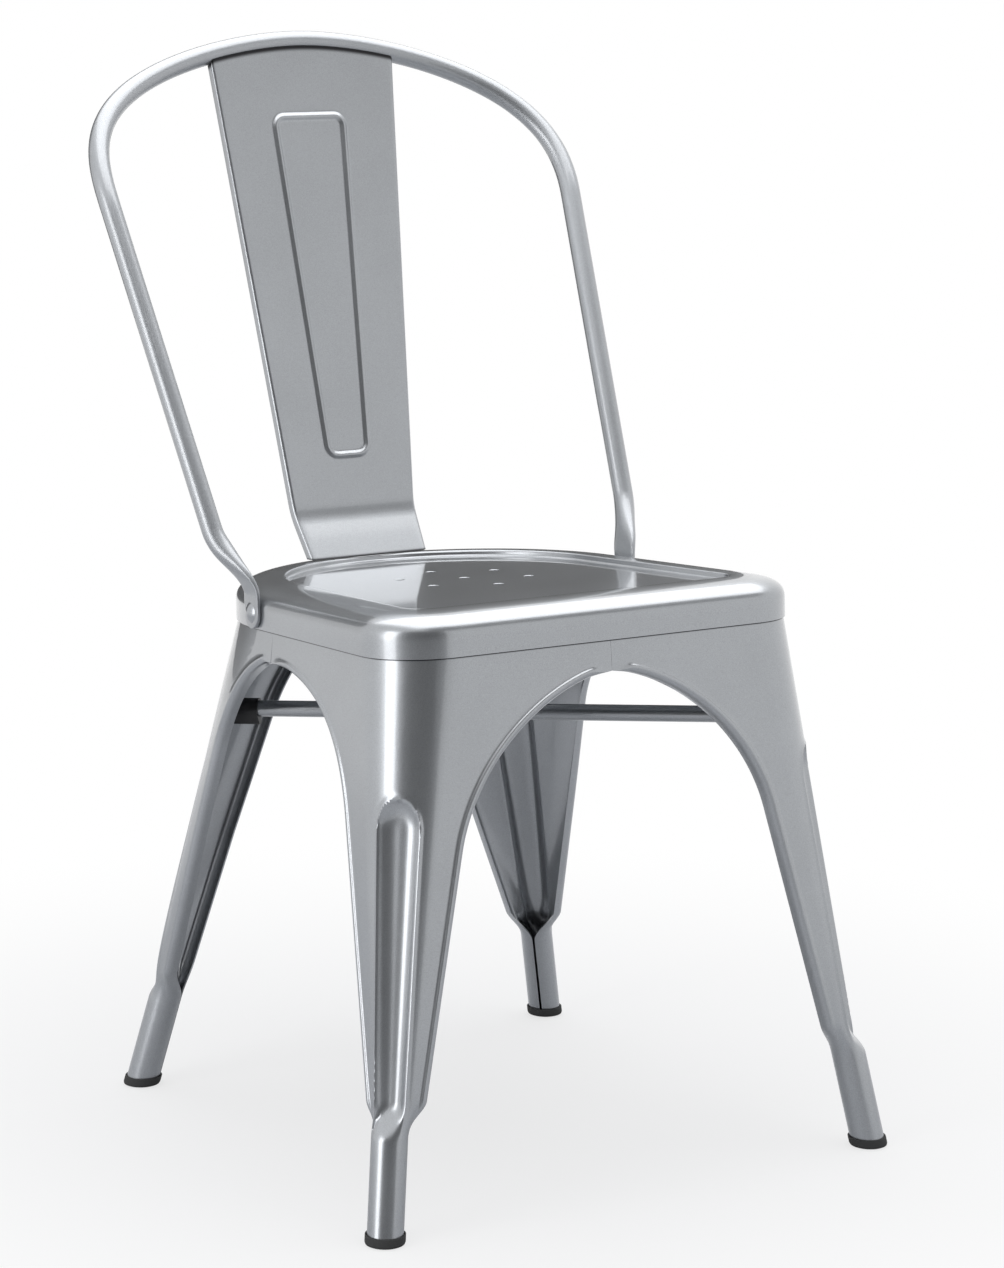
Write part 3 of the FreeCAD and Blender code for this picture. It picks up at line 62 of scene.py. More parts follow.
# Seat
TILT = math.radians(3.61)
SLOPE = math.tan(TILT)
SKIRT_LINE = 407.7
SKIRT_HEIGHT = 32.0
SEAT_FRONT = 172.3
SEAT_BACK = 222.6
FRONT_HALF_WIDTH = 189.2
BACK_HALF_WIDTH = 161.0
FRONT_CORNER = 50.0
BACK_CORNER = 170.0
TAPER = (FRONT_HALF_WIDTH - BACK_HALF_WIDTH) / (SEAT_FRONT + SEAT_BACK)
SHEET = 1.2
RIM_RADIUS = 18.0
# The rim's section is a rounded shape between an ellipse at 2 and a square corner at large numbers
RIM_CROWN = 2.6
DISH_INSET = 40.0
DISH_CORNER = 18.0
DISH_DEPTH = 4.6
CREST_RADIUS = 2.2
DRAIN_RADIUS = 4.0
DRAIN_MOUTH = 0.5
DRAIN_RING = 51.0
DRAIN_PLACE = 35.0
DRAIN_LOW = 6.0
DRAIN_HIGH = 4.0
DRAIN_LIP = 0.02

# Legs
SKIRT_GAP = 0.4
LEG_LAP = 6.5
ARCH_HEIGHT = 384.2
SEAM_GAP = 0.04
SIDE_SEAM = 36.5
SEAM_ROLL = 0.1
KNEE = 99.0
TUBE_TOP = 74.0
TUBE_GAP = 0.3
SLIT = 2.0
FOOT_RADIUS = 13.6
FLUTE_TOP = 318.0
FLUTE_TIP = 77.0
FLUTE_TOP_HALF = 17.0
FLUTE_TIP_HALF = 11.0
FLUTE_END = 24.0
FLUTE_STEEPNESS = 3.2
HEM_FLAT = 0.9
HEM_STEP = 2.8
# Share of the arch over which its hem opens, and how far along, in hem widths, its rows fan out at the apex
HEM_OPENING = 0.12
APEX_FAN = 2.4

# Foot caps
CAP_HEIGHT = 7.5
CAP_FLOOR = 3.0
CAP_WALL = 1.2
CAP_CLEARANCE = 0.3
CAP_ROUND = 2.0
CAP_EDGE = 0.5

# Brace, its turn in degrees
BRACE_RADIUS = 6.5
BRACE_HEIGHT = 331.0
BRACE_CENTRE = 7.7
BRACE_TURN = 45.4
BRACE_GAP = 0.3

# Hoop and rivets. The dullness is added to the paint's roughness
HOOP_RADIUS = 8.25
HOOP_DULLNESS = 0.12
TAB_HALF = 12.25
TAB_THICKNESS = 3.4
TAB_TOP = 26.0
RIVET_ALONG = 66.0
RIVET_UP = 12.5
RIVET_SHANK = 3.0
RIVET_HEAD = 8.0
RIVET_DOME = 3.2
RIVET_TAIL = 4.6
RIVET_TAIL_HEIGHT = 1.6
RIVET_CLEARANCE = 0.2
WASHER_RADIUS = 5.5
WASHER_THICKNESS = 1.2
WASHER_GAP = 0.5
WASHER_EDGE = 0.15

# Splat
SPLAT_SETBACK = 8.0
SPLAT_GAP = 0.4
SPLAT_TOP_HALF = 86.3
SPLAT_FOOT_HALF = 54.8
SPLAT_FOOT_BACK = 183.5
SPLAT_BEND_HEIGHT = 464.0
SPLAT_BEND_BACK = 208.5
SPLAT_BEND_RADIUS = 45.0
SPLAT_FOLD_RADIUS = 3.0
SPLAT_FOLD = 4.0
BEAD_TOP = 781.2
BEAD_BOTTOM = 507.8
BEAD_TOP_HALF = 32.4
BEAD_BOTTOM_HALF = 18.5
BEAD_CORNER = 9.0
BEAD_SPREAD = 1.25

# Angles in degrees past which an edge between two faces stays hard
SEAT_SHARP = 28.0
PART_SHARP = 30.0
SHEET_SHARP = 40.0
HOOP_SHARP = 50.0

# Points closer than this are one, in metres, on built pieces and on the solids' own meshes
MERGE_BUILT = 0.000001
MERGE_SOLID = 0.00001


def v3(x, y, z=0.0):
    return Vector((x, y, z))


def mirror(point):
    """The same point on the chair's other side."""
    return v3(-point.x, point.y, point.z)


def mix(first, second, share):
    return first + (second - first) * share


def smooth(value):
    """0 to 1 with level ends."""
    value = min(max(value, 0.0), 1.0)
    return value * value * (3 - 2 * value)


def bump(value):
    """1 in the middle, 0 from 1 outwards."""
    return 0.0 if abs(value) >= 1 else 0.5 + 0.5 * math.cos(math.pi * value)


def bezier(points, share):
    """Point of a smooth curve from the first point to the last, drawn towards the ones between."""
    while len(points) > 1:
        points = [mix(first, last, share) for first, last in zip(points, points[1:])]
    return points[0]


def heading(points, share, step=0.001):
    """Direction in which a smooth curve runs on at a share of its way."""
    ahead = bezier(points, min(share + step, 1.0))
    behind = bezier(points, max(share - step, 0.0))
    return (ahead - behind).normalized()


def narrow(low, high, holds, steps=30):
    """Narrows a range to the place where a test stops holding, and returns its two ends."""
    for step in range(steps):
        middle = (low + high) / 2
        if holds(middle):
            low = middle
        else:
            high = middle
    return low, high


def to_frame(point):
    return (point.x * MM, (point.y + ORIGIN_SHIFT) * MM, point.z * MM)


def real_height(level, along):
    """Height above the floor of a level that slopes with the seat, at a distance back."""
    return level - SLOPE * along


def seat_place(x, y, z):
    """Place in the seat's own sloping frame, given in the working frame."""
    cos = math.cos(TILT)
    sin = math.sin(TILT)
    return v3(x, y * cos + z * sin, SKIRT_LINE - y * sin + z * cos)


# Meshes

def link(name, data):
    """An object of the scene that holds a mesh, a lamp or a camera."""
    piece = bpy.data.objects.new(name, data)
    bpy.context.scene.collection.objects.link(piece)
    return piece


def shade(mesh, sharp):
    """Smooth shading, with the edges past an angle in degrees kept hard."""
    for polygon in mesh.polygons:
        polygon.use_smooth = True
    mesh.set_sharp_from_angle(angle=math.radians(sharp))


def finish_mesh(bm, name, sharp):
    """A shaded object with its faces outwards, from a bmesh in millimetres of the working frame."""
    bmesh.ops.recalc_face_normals(bm, faces=bm.faces)
    for vertex in bm.verts:
        vertex.co = to_frame(vertex.co)
    mesh = bpy.data.meshes.new(name)
    bm.to_mesh(mesh)
    bm.free()
    shade(mesh, sharp)
    return link(name, mesh)


def apply_modifiers(piece):
    """Gives a piece what its modifiers make as its own plain mesh."""
    graph = bpy.context.evaluated_depsgraph_get()
    mesh = bpy.data.meshes.new_from_object(piece.evaluated_get(graph))
    piece.modifiers.clear()
    old = piece.data
    piece.data = mesh
    bpy.data.meshes.remove(old)
    mesh.name = piece.name


def grid_normals(grid):
    normals = []
    rows = len(grid)
    columns = len(grid[0])
    for i in range(rows):
        line = []
        for j in range(columns):
            down = grid[min(i + 1, rows - 1)][j] - grid[max(i - 1, 0)][j]
            across = grid[i][min(j + 1, columns - 1)] - grid[i][max(j - 1, 0)]
            normal = across.cross(down)
            line.append(normal.normalized() if normal.length > 1e-9 else Vector((0, 0, 1)))
        normals.append(line)
    return normals


def middle_normal(grid):
    return grid_normals(grid)[len(grid) // 2][len(grid[0]) // 2]


def add_points(bm, grid):
    return [[bm.verts.new(point) for point in line] for line in grid]


def add_quads(bm, verts, flip=False):
    for first, second in zip(verts, verts[1:]):
        for j in range(len(first) - 1):
            loop = (first[j], first[j + 1], second[j + 1], second[j])
            bm.faces.new(tuple(reversed(loop)) if flip else loop)


def join_rings(bm, first, second):
    """Faces between two closed rings with the same number of points."""
    count = len(first)
    for j in range(count):
        k = (j + 1) % count
        bm.faces.new((first[j], first[k], second[k], second[j]))


def border(grid):
    """The points round a grid's edge, in order."""
    right = [line[-1] for line in grid[1:]]
    left = [line[0] for line in grid[-2:0:-1]]
    return grid[0] + right + grid[-1][-2::-1] + left


def sheet_shell(bm, grid, thickness):
    """Closed sheet: a grid, the same grid moved in along its normals, and a strip round the edges."""
    normals = grid_normals(grid)
    inner = [[p - n * thickness for p, n in zip(line, ns)] for line, ns in zip(grid, normals)]
    outside = add_points(bm, grid)
    inside = add_points(bm, inner)
    add_quads(bm, outside)
    add_quads(bm, inside, True)
    join_rings(bm, border(outside), border(inside))


# Shader maths

class Nodes:
    """One node tree, with short ways to add nodes."""

    def __init__(self, tree):
        self.tree = tree
        tree.nodes.clear()

    def add(self, kind, settings=None, **inputs):
        """A node with its settings, then the values or links of its sockets. input_0 is the first socket."""
        node = self.tree.nodes.new(kind)
        for name, value in (settings or {}).items():
            setattr(node, name, value)
        for name, value in inputs.items():
            key = int(name[6:]) if name.startswith("input_") else name.replace("_", " ")
            self.put(node.inputs[key], value)
        return node

    def put(self, socket, value):
        if isinstance(value, Value):
            self.tree.links.new(value.socket, socket)
        else:
            socket.default_value = value

    def value(self, node, output=0):
        return Value(self, node.outputs[output])

    def math(self, operation, *values):
        node = self.add("ShaderNodeMath", {"operation": operation})
        for socket, value in zip(node.inputs, values):
            self.put(socket, value)
        return self.value(node)


class Value:
    """A number that flows from a socket: sums and products add Math nodes."""

    def __init__(self, nodes, socket):
        self.nodes = nodes
        self.socket = socket

    def __add__(self, other):
        return self.nodes.math("ADD", self, other)

    def __radd__(self, other):
        return self.nodes.math("ADD", other, self)

    def __sub__(self, other):
        return self.nodes.math("SUBTRACT", self, other)

    def __rsub__(self, other):
        return self.nodes.math("SUBTRACT", other, self)

    def __mul__(self, other):
        return self.nodes.math("MULTIPLY", self, other)

    def __rmul__(self, other):
        return self.nodes.math("MULTIPLY", other, self)

    def band(self, low, high):
        """0 below low, 1 above high, smooth between."""
        settings = {"interpolation_type": "SMOOTHSTEP"}
        node = self.nodes.add("ShaderNodeMapRange", settings, Value=self, From_Min=low, From_Max=high)
        return self.nodes.value(node)


# Finishes

# Silver paint: sizes of its noises per metre, and how much of the mottle comes from each
FLAKE_SCALE = 1800.0
DRIFT_SCALE = 14.0
RIPPLE_SCALE = 260.0
FLAKE_SHARE = 0.75
DRIFT_SHARE = 0.25
MOTTLE_BAND = (0.38, 0.62)
FLAKE_LIGHT = 1.09
FLAKE_DARK = 0.91
FLAKE_ROUGHNESS = 0.06
DRIFT_ROUGHNESS = 0.05
FLAKE_HEIGHT = 0.3
PAINT_METAL = 0.92
COAT_ROUGHNESS = 0.035
COAT_IOR = 1.5
# Painted shade on the legs, a dark line for the shaded gap, starts and ends this far under the skirt's edge
PAINTED_SHADE_START = 1.5
PAINTED_SHADE_END = 0.5


def new_material(name):
    material = bpy.data.materials.new(name)
    material.use_nodes = True
    return material, Nodes(material.node_tree)


def object_place(nodes):
    return nodes.value(nodes.add("ShaderNodeTexCoord"), "Object")


def noise(nodes, place, scale, detail=2.0, roughness=0.5):
    node = nodes.add("ShaderNodeTexNoise", {"noise_dimensions": "3D"}, Vector=place, Scale=scale,
                     Detail=detail, Roughness=roughness)
    return nodes.value(node)


def mix_colour(nodes, factor, first, second):
    node = nodes.add("ShaderNodeMix", {"data_type": "RGBA"}, input_0=factor, input_6=first, input_7=second)
    return nodes.value(node, 2)


def rgba(colour, times=1.0):
    """A colour made lighter or darker, never past white."""
    return tuple(min(1.0, part * times) for part in colour) + (1.0,)


def bump_normal(nodes, height, strength, distance):
    return nodes.value(nodes.add("ShaderNodeBump", None, Strength=strength, Distance=distance, Height=height))


def painted_shade_under_skirt(nodes, place):
    """1 in the painted shade: a thin dark line on the legs just under the seat's edge, for the shaded gap."""
    parts = nodes.add("ShaderNodeSeparateXYZ", None, Vector=place)
    level = nodes.value(parts, "Z") + (nodes.value(parts, "Y") - ORIGIN_SHIFT * MM) * SLOPE
    return level.band((SKIRT_LINE - PAINTED_SHADE_START) * MM, (SKIRT_LINE - PAINTED_SHADE_END) * MM)


def painted_crevice_mask(nodes, place):
    """Painted shade: 1 where the mesh's own crevice attribute puts shade."""
    return nodes.value(nodes.add("ShaderNodeAttribute", {"attribute_name": "crevice"}), "Fac")


def silver_paint(name="silver_lacquer", crevice=None, dull=0.0):
    """Silver lacquer: fine metal flakes under a clear gloss coat, with painted shade in a crevice, duller on
    tubes.
    """
    found = bpy.data.materials.get(name)
    if found:
        return found
    colours = bpy.context.scene.chair_finish
    material, nodes = new_material(name)
    place = object_place(nodes)
    flakes = noise(nodes, place, FLAKE_SCALE, 1.0)
    drift = noise(nodes, place, DRIFT_SCALE, 3.0)
    ripple = noise(nodes, place, RIPPLE_SCALE, 2.0)
    mottle = flakes * FLAKE_SHARE + drift * DRIFT_SHARE
    dark = rgba(colours.paint, FLAKE_DARK)
    light = rgba(colours.paint, FLAKE_LIGHT)
    tone = mix_colour(nodes, mottle.band(*MOTTLE_BAND), dark, light)
    rough = colours.paint_roughness + dull + (flakes - 0.5) * FLAKE_ROUGHNESS
    rough = rough + (drift - 0.5) * DRIFT_ROUGHNESS
    coat = colours.coat
    # Painted shade: where the mask says so, the paint takes the dark crevice colour and loses its clear coat
    if crevice:
        shadow = crevice(nodes, place)
        tone = mix_colour(nodes, shadow, tone, rgba(colours.crevice))
        coat = (1.0 - shadow) * coat
    shader = nodes.add(
        "ShaderNodeBsdfPrincipled", None, Base_Color=tone, Metallic=PAINT_METAL, Roughness=rough,
        Coat_Weight=coat, Coat_Roughness=COAT_ROUGHNESS, Coat_IOR=COAT_IOR,
        Normal=bump_normal(nodes, flakes * FLAKE_HEIGHT + ripple, 0.04, 0.00012))
    nodes.add("ShaderNodeOutputMaterial", None, Surface=nodes.value(shader))
    return material


def black_plastic():
    """Moulded black plastic with paler scuffs."""
    found = bpy.data.materials.get("black_nylon")
    if found:
        return found
    colour = bpy.context.scene.chair_finish.plastic
    material, nodes = new_material("black_nylon")
    place = object_place(nodes)
    grain = noise(nodes, place, 900.0, 3.0)
    scuff = noise(nodes, place, 45.0, 4.0, 0.65)
    tone = mix_colour(nodes, scuff.band(0.45, 0.75), rgba(colour), rgba(colour, 1.8))
    shader = nodes.add(
        "ShaderNodeBsdfPrincipled", None, Base_Color=tone, Roughness=0.38 + (grain - 0.5) * 0.2,
        Normal=bump_normal(nodes, grain, 0.15, 0.0002))
    nodes.add("ShaderNodeOutputMaterial", None, Surface=nodes.value(shader))
    return material


def black_rubber():
    """Matt black rubber with a little dust."""
    found = bpy.data.materials.get("black_rubber")
    if found:
        return found
    colour = bpy.context.scene.chair_finish.rubber
    material, nodes = new_material("black_rubber")
    place = object_place(nodes)
    grain = noise(nodes, place, 1100.0, 3.0)
    dust = noise(nodes, place, 60.0, 4.0, 0.6)
    tone = mix_colour(nodes, dust.band(0.5, 0.8), rgba(colour), rgba(colour, 1.6))
    shader = nodes.add(
        "ShaderNodeBsdfPrincipled", None, Base_Color=tone, Roughness=0.62 + (dust - 0.5) * 0.25,
        Specular_IOR_Level=0.08, Normal=bump_normal(nodes, grain, 0.2, 0.0002))
    nodes.add("ShaderNodeOutputMaterial", None, Surface=nodes.value(shader))
    return material


def dress(piece, material, slot, *nodes):
    """Gives a piece its finish, its body and the solids that it stands for."""
    if not piece.data.polygons:
        raise RuntimeError("%s has no faces" % piece.name)
    piece.data.materials.clear()
    piece.data.materials.append(material)
    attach(piece, "root")
    if nodes:
        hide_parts(*nodes)


# Pieces that repeat or follow a path, made with geometry nodes

TURNED_SEGMENTS = 48
DRAIN_SEGMENTS = 32
EDGE_STEPS = 4


def new_tree(name, inputs):
    """Geometry node tree with its named inputs, and the node that brings them in."""
    tree = bpy.data.node_groups.new(name, "GeometryNodeTree")
    nodes = Nodes(tree)
    tree.interface.new_socket("Geometry", in_out="INPUT", socket_type="NodeSocketGeometry")
    for label, kind in inputs:
        tree.interface.new_socket(label, in_out="INPUT", socket_type="NodeSocket" + kind)
    tree.interface.new_socket("Geometry", in_out="OUTPUT", socket_type="NodeSocketGeometry")
    return nodes, nodes.add("NodeGroupInput")


def close_tree(nodes, given, geometry):
    """Ends a tree: real mesh, the piece's finish, and the way out."""
    whole = nodes.add("GeometryNodeRealizeInstances", None, Geometry=nodes.value(geometry))
    painted = nodes.add("GeometryNodeSetMaterial", None, Geometry=nodes.value(whole),
                        Material=nodes.value(given, "Finish"))
    nodes.add("NodeGroupOutput", None, Geometry=nodes.value(painted))
    return nodes.tree


def turned_tree():
    """Outline turned round an axis and put at every place, with the place's own turn and lean."""
    found = bpy.data.node_groups.get("turned_parts")
    if found:
        return found
    nodes, given = new_tree("turned_parts", (("Places", "Object"), ("Reach", "Float"), ("Edge", "Float"),
                                             ("Segments", "Int"), ("Finish", "Material")))
    outline = nodes.add("GeometryNodeMeshToCurve", None, Mesh=nodes.value(given, "Geometry"))
    rounded = nodes.add("GeometryNodeFilletCurve", {"mode": "POLY"}, Curve=nodes.value(outline),
                        Count=EDGE_STEPS, Radius=nodes.value(given, "Edge"), Limit_Radius=True)
    circle = nodes.add("GeometryNodeCurvePrimitiveCircle", None, Resolution=nodes.value(given, "Segments"),
                       Radius=nodes.value(given, "Reach"))
    skin = nodes.add("GeometryNodeCurveToMesh", None, Curve=nodes.value(circle),
                     Profile_Curve=nodes.value(rounded))
    closed = nodes.add("GeometryNodeMergeByDistance", None, Geometry=nodes.value(skin), Distance=MERGE_BUILT)
    places = nodes.add("GeometryNodeObjectInfo", None, Object=nodes.value(given, "Places"))
    turn = nodes.add("GeometryNodeInputNamedAttribute", {"data_type": "FLOAT_VECTOR"}, Name="turn")
    copies = nodes.add("GeometryNodeInstanceOnPoints", None, Points=nodes.value(places, "Geometry"),
                       Instance=nodes.value(closed), Rotation=nodes.value(turn, "Attribute"))
    whole = nodes.add("GeometryNodeRealizeInstances", None, Geometry=nodes.value(copies))
    lean = nodes.add("GeometryNodeInputNamedAttribute", {"data_type": "FLOAT_VECTOR"}, Name="lean")
    position = nodes.value(nodes.add("GeometryNodeInputPosition"))
    height = nodes.add("ShaderNodeSeparateXYZ", None, Vector=position)
    shift = nodes.add("ShaderNodeVectorMath", {"operation": "SCALE"}, input_0=nodes.value(lean, "Attribute"),
                      Scale=nodes.value(height, "Z"))
    leaning = nodes.add("GeometryNodeSetPosition", None, Geometry=nodes.value(whole),
                        Offset=nodes.value(shift))
    return close_tree(nodes, given, leaning)


def rod_tree():
    """Round rod along every line of the input."""
    nodes, given = new_tree("rods", (("Radius", "Float"), ("Segments", "Int"), ("Finish", "Material")))
    line = nodes.add("GeometryNodeMeshToCurve", None, Mesh=nodes.value(given, "Geometry"))
    circle = nodes.add("GeometryNodeCurvePrimitiveCircle", None, Resolution=nodes.value(given, "Segments"),
                       Radius=nodes.value(given, "Radius"))
    skin = nodes.add("GeometryNodeCurveToMesh", None, Curve=nodes.value(line),
                     Profile_Curve=nodes.value(circle), Fill_Caps=True)
    return close_tree(nodes, given, skin)


def run_tree(name, mesh, tree, values):
    """The plain mesh that a tree makes from a mesh and its named values."""
    piece = link(name, mesh)
    modifier = piece.modifiers.new(name, "NODES")
    modifier.node_group = tree
    for item in tree.interface.items_tree:
        if item.in_out == "INPUT" and item.name in values:
            modifier[item.identifier] = values[item.name]
    apply_modifiers(piece)
    for attribute in ("turn", "lean"):
        if piece.data.attributes.get(attribute):
            piece.data.attributes.remove(piece.data.attributes[attribute])
    bm = bmesh.new()
    bm.from_mesh(piece.data)
    bmesh.ops.remove_doubles(bm, verts=bm.verts, dist=MERGE_BUILT)
    bmesh.ops.recalc_face_normals(bm, faces=bm.faces)
    bm.to_mesh(piece.data)
    bm.free()
    shade(piece.data, PART_SHARP)
    return piece


def turned(name, outline, places, finish, edge=0.0, segments=TURNED_SEGMENTS, closed=False):
    """Like parts turned from one outline of (radius, height), each place with its turn and its lean."""
    reach = max(radius for radius, height in outline)
    mesh = bpy.data.meshes.new(name)
    edges = [(i, i + 1) for i in range(len(outline) - 1)]
    if closed:
        edges.append((len(outline) - 1, 0))
    mesh.from_pydata([((radius - reach) * MM, -height * MM, 0) for radius, height in outline], edges, [])
    stand = bpy.data.meshes.new(name + "_places")
    stand.from_pydata([to_frame(place) for place, turn, lean in places], [], [])
    for label, column in (("turn", 1), ("lean", 2)):
        attribute = stand.attributes.new(label, "FLOAT_VECTOR", "POINT")
        attribute.data.foreach_set("vector", [value for place in places for value in place[column]])
    holder = link(name + "_places", stand)
    values = {"Places": holder, "Reach": reach * MM, "Edge": edge * MM, "Segments": segments,
              "Finish": finish}
    piece = run_tree(name, mesh, turned_tree(), values)
    bpy.data.objects.remove(holder)
    return piece


# Seat

FRONT_CORNER_STEPS = 20
BACK_CORNER_STEPS = 44
SIDE_STEPS = 26
FRONT_STEPS = 26
BACK_STEPS = 2
RIM_STEPS = 22
CREST_STEPS = 6
# Heights up the skirt, insets on the flat of the dish, then shares of the way out from the drains' centre
SKIRT_LEVELS = (0.0, 3.0, 8.0)
DISH_INSETS = (46.0, 54.0)
DISH_SHARES = (0.82, 0.64, 0.46, 0.28, 0.1)
DRAIN_COUNT = 6


def seat_corners(inset):
    """Corners and their radii on the right side of the seat's plan, moved in by inset."""
    moved = inset * math.hypot(1, TAPER)
    front = v3(FRONT_HALF_WIDTH - TAPER * inset - moved, -SEAT_FRONT + inset)
    back = v3(BACK_HALF_WIDTH + TAPER * inset - moved, SEAT_BACK - inset)
    if inset <= RIM_RADIUS:
        front_radius = FRONT_CORNER - inset
    else:
        share = min((inset - RIM_RADIUS) / (DISH_INSET - RIM_RADIUS), 1.0)
        front_radius = mix(FRONT_CORNER - RIM_RADIUS, DISH_CORNER, share) - max(inset - DISH_INSET, 0)
    back_radius = BACK_CORNER - inset
    return front, back, max(front_radius, 0.5), back_radius


def corner_points(corner, before, after, radius, count):
    """Points round a rounded corner, between the directions to the corners before and after it."""
    spread = math.acos(before.dot(after))
    inward = (before + after).normalized()
    centre = corner + inward * (radius / math.sin(spread / 2))
    start = corner + before * (radius / math.tan(spread / 2)) - centre
    end = corner + after * (radius / math.tan(spread / 2)) - centre
    first = math.atan2(start.y, start.x)
    turn = math.atan2(end.y, end.x) - first
    turn = (turn + math.pi) % (2 * math.pi) - math.pi
    angles = [first + turn * i / count for i in range(count + 1)]
    return [centre + v3(math.cos(angle), math.sin(angle)) * radius for angle in angles]


def seat_ring(inset):
    """Plan points of the seat's outline moved in by inset, the same count for every inset."""
    front, back, front_radius, back_radius = seat_corners(inset)
    corners = [front, back, mirror(back), mirror(front)]
    radii = (front_radius, back_radius, back_radius, front_radius)
    steps = (FRONT_CORNER_STEPS, BACK_CORNER_STEPS, BACK_CORNER_STEPS, FRONT_CORNER_STEPS)
    arcs = []
    for i, corner in enumerate(corners):
        before = (corners[i - 1] - corner).normalized()
        after = (corners[(i + 1) % 4] - corner).normalized()
        arcs.append(corner_points(corner, before, after, radii[i], steps[i]))
    between = (SIDE_STEPS, BACK_STEPS, SIDE_STEPS, FRONT_STEPS)
    ring = []
    for i, arc in enumerate(arcs):
        ring.extend(arc)
        following = arcs[(i + 1) % 4][0]
        for k in range(1, between[i]):
            ring.append(arc[-1].lerp(following, k / between[i]))
    return ring


def seat_profile():
    """Inset, height and outward direction along the seat's section, from the skirt's edge to the dish."""
    crest = DISH_INSET - CREST_RADIUS
    shoulder = SKIRT_HEIGHT - RIM_RADIUS
    places = [(0.0, height, -1.0, 0.0) for height in SKIRT_LEVELS + (shoulder,)]
    for i in range(1, RIM_STEPS):
        angle = math.pi / 2 * i / RIM_STEPS
        out = math.cos(angle) ** (2 / RIM_CROWN)
        up = math.sin(angle) ** (2 / RIM_CROWN)
        normal = v3(-(out ** (RIM_CROWN - 1)) / crest, up ** (RIM_CROWN - 1) / RIM_RADIUS).normalized()
        places.append((crest * (1 - out), shoulder + RIM_RADIUS * up, normal.x, normal.y))
    for i in range(CREST_STEPS + 1):
        angle = math.pi / 2 * i / CREST_STEPS
        inset = crest + CREST_RADIUS * math.sin(angle)
        height = SKIRT_HEIGHT - CREST_RADIUS * (1 - math.cos(angle))
        places.append((inset, height, math.sin(angle), math.cos(angle)))
    floor = SKIRT_HEIGHT - DISH_DEPTH
    for i in range(1, CREST_STEPS + 1):
        angle = math.pi / 2 * (1 - i / CREST_STEPS)
        inset = DISH_INSET + CREST_RADIUS * (1 - math.sin(angle))
        height = floor + CREST_RADIUS * (1 - math.cos(angle))
        places.append((inset, height, math.sin(angle), math.cos(angle)))
    places.extend((inset, floor, 0.0, 1.0) for inset in DISH_INSETS)
    return places


def seat_mesh():
    """Rings of the seat's upper and lower faces, from the skirt's edge in to the middle of the dish."""
    bm = bmesh.new()
    outer = []
    inner = []
    for inset, height, across, up in seat_profile():
        outer.append([seat_place(p.x, p.y, height) for p in seat_ring(inset)])
        inner.append([seat_place(p.x, p.y, height - up * SHEET) for p in seat_ring(inset - across * SHEET)])
    last = seat_ring(DISH_INSETS[-1])
    floor = SKIRT_HEIGHT - DISH_DEPTH
    for share in DISH_SHARES:
        plan = [(p.x * share, mix(DRAIN_PLACE, p.y, share)) for p in last]
        outer.append([seat_place(x, y, floor) for x, y in plan])
        inner.append([seat_place(x, y, floor - SHEET) for x, y in plan])
    edges = []
    for face in (outer, inner):
        rings = add_points(bm, face)
        for first, second in zip(rings, rings[1:]):
            join_rings(bm, first, second)
        bm.faces.new(rings[-1])
        edges.append(rings[0])
    join_rings(bm, *edges)
    return finish_mesh(bm, "seat", SEAT_SHARP)


def drain_places():
    """One drain in the middle and a ring of them round it, in the seat's plan."""
    places = [(0.0, DRAIN_PLACE)]
    for i in range(DRAIN_COUNT):
        angle = math.radians(90 + 360 / DRAIN_COUNT * i)
        places.append((DRAIN_RING * math.cos(angle), DRAIN_PLACE + DRAIN_RING * math.sin(angle)))
    return places


def drain_cutter():
    """Rods that cut the seven drain holes, with a slightly wider mouth."""
    mouth = DRAIN_RADIUS + DRAIN_MOUTH
    outline = ((0.0, -DRAIN_LOW), (DRAIN_RADIUS, -DRAIN_LOW), (DRAIN_RADIUS, -DRAIN_MOUTH),
               (mouth, DRAIN_LIP), (mouth, DRAIN_HIGH), (0.0, DRAIN_HIGH))
    floor = SKIRT_HEIGHT - DISH_DEPTH
    places = [(seat_place(x, y, floor), v3(-TILT, 0, 0), v3(0, 0, 0)) for x, y in drain_places()]
    return turned("drain_cutter", outline, places, silver_paint(), segments=DRAIN_SEGMENTS)


def build_seat():
    seat = seat_mesh()
    cutter = drain_cutter()
    cut = seat.modifiers.new("drains", "BOOLEAN")
    cut.operation = "DIFFERENCE"
    cut.solver = "EXACT"
    cut.object = cutter
    bpy.context.view_layer.update()
    apply_modifiers(seat)
    bpy.data.objects.remove(cutter)
    shade(seat.data, SEAT_SHARP)
    dress(seat, silver_paint(), "silver_paint", "seat_pan")


# Legs

# Feet on the floor, how far their tubes lean in per millimetre of height, and the corners' radii at the knees
FRONT_FOOT = v3(221.0, 216.6)
FRONT_LEAN = v3(0.160, 0.188)
FRONT_KNEE_RADIUS = 23.5
REAR_FOOT = v3(197.7, 216.5)
REAR_LEAN = v3(0.225, 0.153)
REAR_KNEE_RADIUS = 14.5
# Longest way round the skin from the corner's middle
LONGEST_RUN = 400.0
# The flute and its ridge end this many half widths from the middle, or at this share of the way to the hem
FLUTE_BORDER = 1.5
FLUTE_REACH = 0.75
# Columns from the edge in: flat and roll of the hem, its step in millimetres, the open face and the flute
FLANGE_COLUMNS = 3
ROLL_COLUMNS = 8
HEM_COLUMNS = (0.0, 0.5, 1.0, 1.4, 1.8, 2.2, 2.8)
FACE_COLUMNS = 12
FLUTE_COLUMNS = (1.5, 1.36, 1.28, 1.2, 1.14, 1.08, 1.03, 0.98, 0.93, 0.88, 0.82, 0.75, 0.66, 0.54, 0.4, 0.26,
                 0.13, 0.0)
# Rows from the top down
SEAM_ROWS = 9
ARCH_ROWS = 60
STRAIGHT_ROWS = 70
KNEE_ROWS = 18
TUBE_ROWS = 6
# Share of the way down to the bend at which the seam's rows end, and how the arch's rows crowd near its apex
SEAM_SHARE = 0.2
ARCH_CROWDING = 0.55


